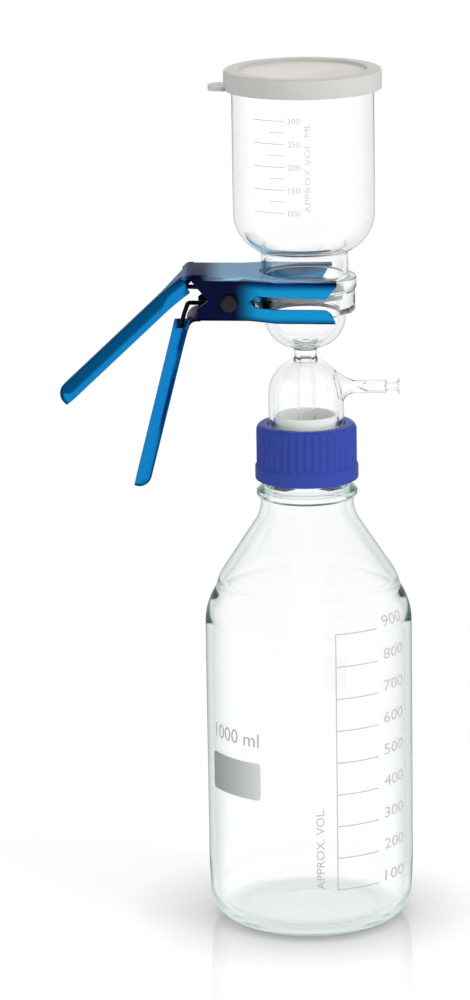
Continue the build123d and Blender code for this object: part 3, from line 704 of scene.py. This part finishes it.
class MakeBottle(bpy.types.Operator):
    """Receiver bottle with its thread"""

    bl_idname = "filtration.make_bottle"
    bl_label = "Bottle"

    def execute(self, context):
        wall = sizes().bottle_wall
        r = BOTTLE_R - wall
        inner = rounded(
            [
                (0, 6.6), (14.0, 6.6), (33.0, 4.2), (r - 1.3, 4.2), (r, 30.0), (r, 157.65),
                (45.67 - wall, 170.0), (19.3, 206.09), (19.3, 216.3), (15.6, 222.3),
                (15.6, MOUTH_Z), (0, MOUTH_Z),
            ],
            [0, 60, 3, 14 - wall, 40, 20, 20, 14, 6, 6, 0.8, 0],
        )[:-1]
        profile = np.concatenate([bottle_outer(), inner[::-1]])
        # The straight neck gets 60 even steps, fine enough to raise the thread on it.
        neck = (profile[:, 1] > THREAD_FOOT_Z) & (profile[:, 0] > 19)
        first, last = np.flatnonzero(neck)[[0, -1]]
        thread = np.linspace(profile[first], profile[last], 60)
        profile = np.concatenate([profile[:first], thread, profile[last + 1 :]])
        points, faces = turned(profile, False, sizes().turns)
        points = self.threaded(points)
        piece = build("bottle_glass", (points, faces))
        material = glass("borosilicate bottle glass", "b0dcd2", 14.0, "a8b4b4", "c4d0cd", 0.4)
        place(piece, "receiver", "bottle_glass", material, "bottle")
        return {"FINISHED"}

    def threaded(self, points):
        """Raises a ridge 1.3 mm high along two turns of a helix of 4.5 mm pitch on the neck.

        A point stands out by the ridge's height times the cosine squared of its distance from
        the helix, and the ridge fades at both of its ends.
        """
        first_z, pitch, height, half_width, neck_r = 224.4, 4.5, 1.3, 1.3, 20.1
        start, end, run_out = -0.1, 1.95, 0.15
        radius = np.hypot(points[:, 0], points[:, 1])
        angle = np.arctan2(points[:, 1], points[:, 0]) / (2 * math.pi)
        turn = (points[:, 2] - first_z) / pitch - angle
        nearest = np.round(turn)
        off = np.clip(np.abs(turn - nearest) * pitch / half_width, 0, 1)
        along = nearest + angle
        fade = np.clip((along - start) / run_out, 0, 1) * np.clip((end - along) / run_out, 0, 1)
        outside = (radius > neck_r) & (points[:, 2] > THREAD_FOOT_Z)
        ridge = height * np.cos(off * math.pi / 2) ** 2 * fade * outside
        grown = 1 + ridge / np.maximum(radius, 1)
        return points * np.stack([grown, grown, np.ones_like(grown)], 1)


class MakeBottlePrint(bpy.types.Operator):
    """Scale, capacity and writing patch fired on the bottle"""

    bl_idname = "filtration.make_bottle_print"
    bl_label = "Bottle print"

    def execute(self, context):
        high = sizes().print_height
        low_mark, spacing, line_x, tick, half_line = 27.2, 16.14, 13.1, 23.2, 0.28
        figures_x, figures_up, figures_width = 40.3, 2.6, 15.8
        upright = flat_bar(-half_line, -half_line, 8 * spacing + half_line, half_line)
        shapes = [moved(upright, line_x, low_mark, quarter=True)]
        for step in range(9):
            z = low_mark + step * spacing
            shapes.append(flat_bar(line_x, z - half_line, line_x + tick, z + half_line))
            figures = flat_text(str(100 * (step + 1)), high, figures_width)
            shapes.append(moved(figures, figures_x, z + figures_up - high / 2))
        words = flat_text("APPROX. VOL.", height=4.0, width=41.3)
        shapes.append(moved(words, 6.6, 27.9, quarter=True))
        volume = flat_text("1000 ml", height=7.0, width=31.4)
        shapes.append(moved(volume, -57.4, 98.3))
        patch_low, patch_high, corner_r = 71.5, 90.3, 1.6
        x = np.linspace(-60.2, -25.3, 40)
        end = np.clip(1 - np.minimum(x - x[0], x[-1] - x) / corner_r, 0, 1)
        inset = corner_r * (1 - np.sqrt(1 - end**2))
        piece = build("bottle_print", wrapped(joined(*shapes), bottle_radius, BOTTLE_R))
        shade = colours().print_grey
        grey = enamel("fired grey enamel", shade, shade, -47, -24)
        place(piece, "receiver", "bottle_glass", grey)
        patch = flat_band(patch_low + inset, patch_high - inset, x)
        piece = build("writing_patch", wrapped(patch, bottle_radius, BOTTLE_R))
        # Painted light: the writing patch is darker at its left and paler at its right, as lit from
        # the right.
        matt = enamel("fired matt enamel", linear("939a99"), linear("d8dcda"), -47, -24)
        place(piece, "receiver", "bottle_glass", matt)
        return {"FINISHED"}


class MakeCap(bpy.types.Operator):
    """Open-top screw cap with grip ribs"""

    bl_idname = "filtration.make_cap"
    bl_label = "Screw cap"

    def execute(self, context):
        low, top = CAP_LOW[2], CAP_HIGH[2]
        ring_r, outer_r, inner_r, hole_r, under_z = CAP_HIGH[1], 24.1, 22.8, 18.75, top - 2.2
        profile = rounded(
            [
                (hole_r, under_z), (inner_r, under_z), (inner_r, low), (ring_r, low),
                (ring_r, low + 6.5), (outer_r, low + 7.9), (outer_r, top), (hole_r, top),
            ],
            [0.2, 0.5, 0.3, 0.6, 0.9, 0.6, 2.4, 0.7],
        )
        count = sizes().rib_count
        points, faces = turned(refined(profile, 0.8), True, count * 14)
        points = self.ribbed(points, count, low + 7.2, top - 0.5)
        piece = build("screw_cap_shell", (points, faces), crease=50)
        material = plastic("moulded blue polypropylene", colours().cap, 0.42, 0.35, 0.02, 0.15)
        place(piece, "cap", "cap_plastic", material, "screw_cap")
        return {"FINISHED"}

    def ribbed(self, points, count, low, high):
        """Moves the skirt out by a rounded square wave of the turn's angle, fading at both ends.

        The wave is a logistic step of the cosine of the angle times the count of ribs.
        """
        angle = np.arctan2(points[:, 1], points[:, 0])
        radius = np.hypot(points[:, 0], points[:, 1])
        rib = 1 / (1 + np.exp(-(np.cos(angle * count) - 0.1) * 5.0))
        height = points[:, 2]
        fade = np.clip((height - low) / 1.2, 0, 1) * np.clip((high - height) / 2.6, 0, 1)
        fade = fade * fade * (3 - 2 * fade)
        outside = np.clip((radius - 22.9) / 0.6, 0, 1)
        grown = 1 + sizes().rib_height * (rib - 0.35) * fade * outside / radius
        return points * np.stack([grown, grown, np.ones_like(grown)], 1)


class MakeSeal(bpy.types.Operator):
    """Grooved seal ring"""

    bl_idname = "filtration.make_seal"
    bl_label = "Seal ring"

    def execute(self, context):
        low, lip = SEAL_LOW[2], SEAL_HIGH[2] + 2.5
        shelf, groove = CAP_HIGH[2] - 2.25, SEAL_LOW[2] + 2
        hole_r, lip_r, groove_r, outer_r = 13.4, 14.9, 16.7, 21.3
        profile = rounded(
            [
                (hole_r, low), (outer_r, low), (outer_r, shelf), (groove_r, shelf),
                (groove_r, groove), (lip_r, groove), (lip_r, lip), (hole_r, lip),
            ],
            [0.5, 0.5, 0.8, 0.3, 0.1, 0.1, 0.5, 0.5],
        )
        piece = build("seal_ring_rubber", turned(profile, True, sizes().turns))
        material = plastic("pale silicone rubber", colours().seal, 0.5, 0.5, 0.02, 0.3)
        place(piece, "head", "seal_rubber", material, "seal_ring")
        return {"FINISHED"}


def flare(neck_r, small, centre_r, centre_z, radius, up):
    """Fillet of a small radius between a straight neck and a round, above or below its centre.

    The fillet's centre lies its own radius outside the neck and both radii from the round's
    centre. Returns where it leaves the neck and where it meets the round, as (r, z).
    """
    rise = math.sqrt((radius + small) ** 2 - (neck_r + small - centre_r) ** 2)
    share = radius / (radius + small)
    meet = (centre_r + (neck_r + small - centre_r) * share, centre_z + up * rise * share)
    return (neck_r, centre_z + up * rise), meet


def bent_to_bulb(points, radius, start, end):
    """Bends the flat root of the side arm on to a sphere about the bulb's centre.

    A point at the root moves along X by the gap between its plane and the sphere, and the move
    fades with the square of the way left to the end.
    """
    above = np.maximum(points[:, 2] - BULB_Z, 0)
    root = np.sqrt(np.maximum(radius**2 - points[:, 1] ** 2 - above**2, 0))
    near = np.clip((end - points[:, 0]) / (end - start), 0, 1)
    return points + ((root - start) * near**2)[:, None] * (1, 0, 0)


class MakeFilterBase(bpy.types.Operator):
    """Glass filter base with its bowl, bulb, drip tube and side arm"""

    bl_idname = "filtration.make_filter_base"
    bl_label = "Filter base"

    def execute(self, context):
        piece = build("filter_base_glass", self.base())
        fused(piece, build("arm_outside", self.arm_outside()), "UNION")
        fused(piece, build("arm_bore", self.arm_bore()), "DIFFERENCE")
        clear = glass("borosilicate blown glass", "d5e6e6", 5.0, "fbfcfc", "d8dede", 0.2)
        place(piece, "head", "clear_glass", clear, "filter_base")
        return {"FINISHED"}

    def base(self):
        """Turned outline of flange, bowl, stem, bulb and drip tube, with the tube's tip slanted.

        A point near the tip is raised by the slant times its distance from the tube's left side,
        and the raise fades evenly to nothing where the slant begins.
        """
        low, top = BASE_LOW[2], BASE_HIGH[2]
        stem_r, fillet, bulb_r, drip_r, drain_r = 5.4, 2.4, 18.35, 4.5, 5.0
        bowl_z, bowl_r, cup_r, hub = 303.2, 15.0, 12.4, 4.6
        low_stem, dome_end = flare(stem_r, fillet, 0, BULB_Z, bulb_r, 1)
        high_stem, bowl_start = flare(stem_r, fillet, hub, bowl_z, bowl_r, -1)
        bore = drip_r - sizes().drip_wall
        dome_r = bulb_r - 2.0
        dome_z = BULB_Z + math.sqrt(dome_r**2 - drip_r**2)
        drain_z = bowl_z - math.sqrt(cup_r**2 - (drain_r - hub) ** 2)
        tube = [(15.0, 241.25), (16.6, 241.25), (16.6, 247.7), (bulb_r, 250.9)]
        flange = [
            (19.6, 304.8), (20.8, 306.0), (23.3, 306.0), (24.3, 307.0), (24.3, top - 0.5),
            (23.8, top), (18.4, top), (18.4, top - 3.5), (17.0, top - 3.5),
        ]
        inner_tube = [(dome_r, 251.7), (15.0, 248.3)]
        profile = np.concatenate(
            [
                tube,
                arc((bulb_r, BULB_Z), dome_end, bulb_r, 30),
                arc(dome_end, low_stem, -fillet, 12)[1:],
                arc(high_stem, bowl_start, -fillet, 12),
                arc(bowl_start, (hub + bowl_r, bowl_z), bowl_r, 30)[1:],
                flange,
                arc((hub + cup_r, bowl_z), (drain_r, drain_z), -cup_r, 26),
                arc((drain_r, drain_z), (3.0, drain_z - 2.0), 2.0, 8)[1:],
                [(3.0, 280.0), (bore, 270.0), (bore, low), (drip_r, low)],
                arc((drip_r, dome_z), (dome_r, BULB_Z), -dome_r, 30),
                inner_tube,
            ]
        )
        points, faces = turned(refined(profile, 1.6), True, sizes().turns)
        slant_top, slant_rise = 241.0, math.tan(math.radians(40))
        slant = np.clip((slant_top - points[:, 2]) / (slant_top - low), 0, 1)
        in_tube = np.hypot(points[:, 0], points[:, 1]) < drip_r + 0.1
        points[:, 2] += slant * in_tube * (points[:, 0] + drip_r) * slant_rise
        return points, faces

    def arm_outside(self):
        """Turned outline of the side arm along +X; its root is bent to lie in the bulb's wall."""
        root_x = 16.07
        outline = np.concatenate(
            [
                np.stack([np.linspace(0, 8.6, 10), np.full(10, root_x)], 1),
                arc((9.0, root_x), (3.15, 24.5), -9.0, 24),
                [(3.15, 38.4), (3.0, 38.9), (1.95, 39.6), (1.95, 43.6)],
                arc((1.95, 43.9), (3.9, 44.8), -3.0, 6),
                [(3.9, 45.1), (3.5, 45.6), (0, 45.6)],
            ]
        )
        points, faces = laid_along_x(turned(outline, False, 96), ARM_Z)
        return bent_to_bulb(points, 17.8, root_x, 21.5), faces

    def arm_bore(self):
        """Turned outline of the side arm's bore: it opens wide into the bulb and has a throat."""
        root_x = 15.3
        throat = rounded(
            [
                (1.3, 23.8), (0.5, 24.8), (0.5, 25.8), (2.15, 29.3), (2.15, 37.2), (0.7, 40.2),
                (0.7, 47.0), (0, 47.0),
            ],
            [0, 2, 2, 3, 2, 2, 0, 0],
            steps=6,
        )
        outline = np.concatenate(
            [
                np.stack([np.linspace(0, 6.7, 8), np.full(8, root_x)], 1),
                arc((7.05, root_x), (1.75, 23.0), -10.5, 20),
                throat,
            ]
        )
        points, faces = laid_along_x(turned(outline, False, 96), ARM_Z)
        return bent_to_bulb(points, 16.2, root_x, 20.0), faces


class MakeFilters(bpy.types.Operator):
    """Fritted disc in the filter base, and the filter disc between the flanges"""

    bl_idname = "filtration.make_filters"
    bl_label = "Frit and filter disc"

    def execute(self, context):
        low, high = extent("frit_disc")
        r = high[1] - 0.02
        outline = rounded([(0, low[2]), (r, low[2]), (r, high[2]), (0, high[2])], [0, 0.3, 0.2, 0])
        piece = build("frit", turned(outline, False, sizes().turns))
        sinter = frosted("sintered glass frit", linear("a9aaa8"), 2200.0)
        place(piece, "head", "fritted_glass", sinter, "frit_disc")
        low, high = extent("membrane_filter")
        r, under, over = high[1], low[2] + 0.02, high[2] - 0.02
        outline = rounded([(0, under), (r, under), (r, over), (0, over)], [0, 0.08, 0.08, 0])
        piece = build("filter_disc", turned(outline, False, sizes().turns))
        paper = frosted("cellulose membrane", linear("b4b5b3"), 6000.0)
        place(piece, "head", "membrane", paper, "membrane_filter")
        return {"FINISHED"}


class MakeFunnel(bpy.types.Operator):
    """Funnel with its ground flange and beaded rim"""

    bl_idname = "filtration.make_funnel"
    bl_label = "Funnel"

    def execute(self, context):
        wall = sizes().funnel_wall
        body_r, neck_r, flange_r, bend_r = FUNNEL_BODY_R, 21.05, 25.0, 20.0
        bend_z, flange_z = STACK_Z + 37.2, STACK_Z + 5.8
        hub = body_r - bend_r
        fillet, inner_fillet = 2.5, 2.0
        neck_top, bend_start = flare(neck_r, fillet, hub, bend_z, bend_r, -1)
        inner_r, inner_neck, inner_bend = body_r - wall, neck_r - wall, bend_r - wall
        inner_top, inner_start = flare(inner_neck, inner_fillet, hub, bend_z, inner_bend, -1)
        rim_z = FUNNEL_TOP_Z - 6
        foot = rounded(
            [
                (inner_neck, STACK_Z), (flange_r, STACK_Z), (flange_r, flange_z),
                (neck_r, flange_z), neck_top, inner_top,
            ],
            [0.4, 0.8, 0.7, 1.6, 0, 0],
        )[:-2]
        rim = rounded(
            [
                (body_r, bend_z + 5), (body_r, rim_z - 2), (FUNNEL_RIM_R, rim_z),
                (FUNNEL_RIM_R, FUNNEL_TOP_Z), (inner_r, FUNNEL_TOP_Z), (inner_r, bend_z + 5),
            ],
            [0, 2.5, 1.2, 1.6, 1.0, 0],
        )[1:-1]
        profile = np.concatenate(
            [
                foot,
                arc(neck_top, bend_start, -fillet, 10),
                arc(bend_start, (body_r, bend_z), bend_r, 40)[1:],
                rim,
                arc((inner_r, bend_z), inner_start, -inner_bend, 40),
                arc(inner_start, inner_top, inner_fillet, 10)[1:],
            ]
        )
        piece = build("funnel_glass", turned(profile, True, sizes().turns))
        clear = glass("borosilicate drawn glass", "d5e6e6", 3.0, "fbfcfc", "eaeeee", 0.2)
        place(piece, "head", "clear_glass", clear, "funnel")
        return {"FINISHED"}


class MakeFunnelPrint(bpy.types.Operator):
    """Scale fired on the funnel"""

    bl_idname = "filtration.make_funnel_print"
    bl_label = "Funnel print"

    def execute(self, context):
        low_mark, spacing, right, half_line = 359.75, 5.52, -8.85, 0.16
        high = 2.8
        shapes = []
        for step in range(9):
            z = low_mark + step * spacing
            reach = 17.0 if step % 2 == 0 else 8.0
            shapes.append(flat_bar(right - reach, z - half_line, right, z + half_line))
            if step % 2 == 0:
                figures = flat_text(str(100 + 25 * step), high, 5.85)
                shapes.append(moved(figures, -7.5, z - high / 2))
        words = flat_text("APPROX VOL. ML", height=2.9, width=43.1)
        shapes.append(moved(words, 3.4, 360.1, quarter=True))
        marks = wrapped(joined(*shapes), lambda z: np.full_like(z, FUNNEL_BODY_R), FUNNEL_BODY_R)
        piece = build("funnel_print", marks)
        # Painted light: the scale is painted paler towards its right, as lit from the right.
        pale = enamel("fired pale enamel", colours().print_grey, linear("c8cbcb"), -26, 4)
        place(piece, "head", "clear_glass", pale)
        return {"FINISHED"}


class MakeLid(bpy.types.Operator):
    """Push-on lid with its pull tab"""

    bl_idname = "filtration.make_lid"
    bl_label = "Lid"

    def execute(self, context):
        piece = carried_over("lid", "lid_cover")
        place(piece, "cover", "lid_rubber", lid_silicone("grey silicone lid"), "lid")
        return {"FINISHED"}


class MakeClamp(bpy.types.Operator):
    """Sheet-metal jaws, pin and pin caps"""

    bl_idname = "filtration.make_clamp"
    bl_label = "Clamp"

    def execute(self, context):
        metal = anodised("blue anodised aluminium")
        for side in ("upper", "lower"):
            piece = carried_over(f"clamp_{side}_jaw", f"clamp_{side}_jaw_sheet")
            place(piece, f"{side}_jaw", "blue_metal", metal, f"clamp_{side}_jaw")
        pin = carried_over("pivot_pin", "pivot_pin_steel")
        steel = drawn_steel("turned steel pin", linear("8c8f94"), 0.3)
        place(pin, "head", "pin_steel", steel, "pivot_pin")
        black = plastic("black nylon", linear("0c0c10"), 0.3, 0.4, 0.01)
        for side in ("front", "rear"):
            piece = carried_over(f"pin_cap_{side}", f"pin_cap_{side}_nylon")
            place(piece, "head", "black_plastic", black, f"pin_cap_{side}")
        return {"FINISHED"}


class MakeSpring(bpy.types.Operator):
    """Torsion spring in two halves, each moving with the jaw that its leg presses"""

    bl_idname = "filtration.make_spring"
    bl_label = "Spring"

    def execute(self, context):
        past = math.radians(12)  # each half runs on beyond the middle, inside the other
        middle = 6.5 * math.pi
        wire_r = 1.1
        upper = np.concatenate(
            [
                PIVOT + [(-30.8, -4.2, -1.4), (-23.4, -4.2, 5.4), (-7.5, -7.9, 5.4)],
                self.coil(0, middle + past),
            ]
        )
        lower = np.concatenate(
            [
                self.coil(middle - past, 2 * middle),
                PIVOT
                + [(-13.0, 8.2, -5.4), (-20.2, 4.2, -4.4), (-22.2, 4.2, -9.8), (-25.7, 4.2, -23.4)],
            ]
        )
        steel = drawn_steel("blackened spring wire", linear("141416"), 0.3)
        for side, route in (("upper", upper), ("lower", lower)):
            piece = build(f"spring_{side}_half", piped(eased(route), wire_r))
            place(piece, f"{side}_jaw", "spring_steel", steel, "torsion_spring")
        return {"FINISHED"}

    def coil(self, start, end):
        """Helix of 2.35 mm pitch about the pin: up by the cosine and along X by the sine."""
        coil_r, pitch, first_y = 5.4, 2.35, -7.6375
        angle = np.linspace(start, end, int((end - start) / 0.08))
        y = first_y + pitch * angle / (2 * math.pi)
        turn = np.stack([coil_r * np.sin(angle), y, coil_r * np.cos(angle)], 1)
        return PIVOT * (1, 0, 1) + turn


# ---------------------------------------------------------------- stage
def soft_lamp(name, spot, aim, width, height, power):
    """Rectangular soft box facing a point; glass and gloss don't show it as a rectangle."""
    lamp = bpy.data.lights.new(name, "AREA")
    lamp.shape = "RECTANGLE"
    lamp.size, lamp.size_y = width, height
    lamp.energy = power
    holder = added(name, lamp)
    holder.location = spot
    holder.rotation_euler = (Vector(aim) - Vector(spot)).to_track_quat("-Z", "Y").to_euler()
    holder.visible_transmission = False
    holder.visible_glossy = False


def studio_world():
    """White cyclorama, at a plain level for the light that it gives.

    Seen through glass it is brightest level with the object, and dims towards straight up and
    straight down. Mirrored in gloss it is white straight behind and below the horizon, dim to
    the sides, and a little dimmer above and in front.
    """
    world = bpy.data.worlds.new("studio")
    world.use_nodes = True
    tree = world.node_tree
    tree.nodes.clear()
    way = node(tree, "ShaderNodeTexCoord")
    parts = node(tree, "ShaderNodeSeparateXYZ", Vector=(way, "Generated"))
    steep = node(tree, "ShaderNodeMath", {"operation": "ABSOLUTE"}, _0=(parts, "Z"))
    aside = node(tree, "ShaderNodeMath", {"operation": "ABSOLUTE"}, _0=(parts, "X"))
    level, middle, low, facing, under = [
        node(
            tree, "ShaderNodeMapRange", SMOOTH,
            Value=measure, From_Min=start, From_Max=end, To_Min=before, To_Max=after,
        )
        for measure, start, end, before, after in (
            ((steep, 0), 0.4, 0.9, 1.05, 0.85),
            ((aside, 0), 0.2, 0.4, 1.0, 0.3),
            ((parts, "Z"), 0.35, 0.6, 1.0, 0.85),
            ((parts, "Y"), 0.0, 0.6, 0.9, 1.0),
            ((parts, "Z"), -0.1, 0.02, 1.0, 0.0),
        )
    ]
    narrow = node(tree, "ShaderNodeMath", {"operation": "MINIMUM"}, _0=(middle, 0), _1=(low, 0))
    behind = node(tree, "ShaderNodeMath", {"operation": "MINIMUM"}, _0=(narrow, 0), _1=(facing, 0))
    gloss = node(tree, "ShaderNodeMath", {"operation": "MAXIMUM"}, _0=(behind, 0), _1=(under, 0))
    path = node(tree, "ShaderNodeLightPath")
    shown = node(tree, "ShaderNodeBackground", Color=(1, 1, 1, 1), Strength=0.85)
    for kind, strength in (("Glossy", (gloss, 0)), ("Transmission", (level, 0)), ("Camera", 1.0)):
        sky = node(tree, "ShaderNodeBackground", Color=(1, 1, 1, 1), Strength=strength)
        question = (path, f"Is {kind} Ray")
        shown = node(tree, "ShaderNodeMixShader", _0=question, _1=(shown, 0), _2=(sky, 0))
    node(tree, "ShaderNodeOutputWorld", Surface=(shown, 0))
    bpy.context.scene.world = world


def floor_material():
    """White gloss acrylic sheet: clear mirror gloss over white, fading out into the cyclorama.

    Its paint is darkened by a painted contact shadow where the object stands close over it.
    Mirrored in the object it dims behind and to the sides, and through glass it shows faintly,
    right under the object only.
    """
    material, tree = new_material("white gloss acrylic")
    place_on = node(tree, "ShaderNodeTexCoord")
    away = node(tree, "ShaderNodeVectorMath", {"operation": "LENGTH"}, _0=(place_on, "Object"))
    open_floor = node(
        tree, "ShaderNodeMapRange", SMOOTH, Value=(away, "Value"), From_Min=0.12, From_Max=0.34
    )
    # Painted shadow: ambient occlusion darkens the paint close under the object, as a contact
    # shadow.
    shut = node(tree, "ShaderNodeAmbientOcclusion", {"samples": 8}, Distance=0.05)
    painted_contact_shadow = node(
        tree, "ShaderNodeMix", COLOURED, Factor=(shut, "AO"),
        _6=linear("283030"), _7=linear("f4f4f4"),
    )
    paint = node(tree, "ShaderNodeBsdfDiffuse", Color=(painted_contact_shadow, 2))
    gloss = node(tree, "ShaderNodeBsdfGlossy", Color=(1, 1, 1, 1), Roughness=0.04)
    sheet = node(tree, "ShaderNodeMixShader", _0=0.3, _1=(paint, 0), _2=(gloss, 0))
    lift = node(tree, "ShaderNodeEmission", Color=(1, 1, 1, 1), Strength=0.12)
    lifted = node(tree, "ShaderNodeAddShader", _0=(sheet, 0), _1=(lift, 0))
    white = node(tree, "ShaderNodeEmission", Color=(1, 1, 1, 1), Strength=1.0)
    seen = node(tree, "ShaderNodeMixShader", _0=(open_floor, 0), _1=(lifted, 0), _2=(white, 0))
    parts = node(tree, "ShaderNodeSeparateXYZ", Vector=(place_on, "Object"))
    aside = node(tree, "ShaderNodeMath", {"operation": "ABSOLUTE"}, _0=(parts, "X"))
    out = node(tree, "ShaderNodeMath", {"operation": "MINIMUM"}, _0=(aside, 0), _1=(parts, "Y"))
    strip = node(
        tree, "ShaderNodeMapRange", SMOOTH,
        Value=(out, 0), From_Min=0.0, From_Max=0.06, To_Min=0.95, To_Max=0.3,
    )
    mirrored = node(tree, "ShaderNodeEmission", Color=(1, 1, 1, 1), Strength=(strip, 0))
    clear = node(tree, "ShaderNodeBsdfTransparent", Color=(1, 1, 1, 1))
    far = node(
        tree, "ShaderNodeMapRange", SMOOTH,
        Value=(away, "Value"), From_Min=0.042, From_Max=0.052, To_Min=0.75, To_Max=1.0,
    )
    below = node(tree, "ShaderNodeMixShader", _0=(far, 0), _1=(lifted, 0), _2=(clear, 0))
    path = node(tree, "ShaderNodeLightPath")
    shown = sheet
    for kind, shader in (("Glossy", mirrored), ("Camera", seen), ("Transmission", below)):
        question = (path, f"Is {kind} Ray")
        shown = node(tree, "ShaderNodeMixShader", _0=question, _1=(shown, 0), _2=(shader, 0))
    finish_with(tree, shown)
    return material


class MakeStage(bpy.types.Operator):
    """Floor, soft light and camera"""

    bl_idname = "filtration.make_stage"
    bl_label = "Stage"

    def execute(self, context):
        scene = context.scene
        studio_world()
        reach = 6000.0
        corners = np.array([[-1, -1, 0], [1, -1, 0], [1, 1, 0], [-1, 1, 0]]) * reach
        floor = build("floor", (corners, np.array([[0, 1, 2, 3]])))
        floor.data.materials.append(floor_material())

        middle = (0, 0, 0.25)
        soft_lamp("top box", (0.1, 0.1, 1.7), middle, 1.4, 1.4, 2)
        soft_lamp("right box", (1.3, -0.9, 0.6), middle, 0.7, 1.5, 15)
        soft_lamp("left box", (-1.4, -0.9, 0.6), middle, 0.5, 1.5, 3)

        lens = bpy.data.cameras.new("camera")
        lens.sensor_fit = "AUTO"
        lens.sensor_width = 36
        lens.lens = 166.955
        lens.clip_start, lens.clip_end = 0.1, 60
        camera = added("camera", lens)
        spot = Vector((0, -2.2, 0.762))
        aim = Vector((-0.035316, 0, 0.211756))
        camera.location = spot
        turn = (aim - spot).to_track_quat("-Z", "Y").to_matrix().to_4x4()
        camera.rotation_euler = (turn @ Matrix.Rotation(math.radians(-0.87623), 4, "Z")).to_euler()
        scene.camera = camera

        scene.view_settings.view_transform = "Standard"
        # Light passes many walls of glass and mirrors to and fro inside them.
        glass_bounces = 96
        scene.cycles.max_bounces = glass_bounces
        scene.cycles.transmission_bounces = glass_bounces
        scene.cycles.glossy_bounces = glass_bounces
        scene.cycles.diffuse_bounces = 4
        scene.cycles.transparent_max_bounces = 32
        return {"FINISHED"}


# ---------------------------------------------------------------- panel
class FiltrationPanel(bpy.types.Panel):
    """Lists the pieces of the filtration unit"""

    bl_label = "Filtration unit"
    bl_idname = "VIEW3D_PT_filtration"
    bl_space_type = "VIEW_3D"
    bl_region_type = "UI"
    bl_category = "Filtration"

    def draw(self, context):
        for operator in OPERATORS:
            self.layout.operator(operator.bl_idname)
        for group in (sizes(), colours()):
            for name in group.__annotations__:
                self.layout.prop(group, name)


OPERATORS = (
    MakeStage, MakeBottle, MakeBottlePrint, MakeCap, MakeSeal, MakeFilterBase, MakeFilters,
    MakeFunnel, MakeFunnelPrint, MakeLid, MakeClamp, MakeSpring,
)
CLASSES = (FiltrationSizes, FiltrationColours, *OPERATORS, FiltrationPanel)


def register():
    for kind in CLASSES:
        bpy.utils.register_class(kind)
    bpy.types.Scene.filtration_sizes = PointerProperty(type=FiltrationSizes)
    bpy.types.Scene.filtration_colours = PointerProperty(type=FiltrationColours)


def unregister():
    del bpy.types.Scene.filtration_colours
    del bpy.types.Scene.filtration_sizes
    for kind in reversed(CLASSES):
        bpy.utils.unregister_class(kind)


def main():
    """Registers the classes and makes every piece."""
    register()
    for operator in OPERATORS:
        group, name = operator.bl_idname.split(".")
        getattr(getattr(bpy.ops, group), name)()


if __name__ == "__main__":
    main()
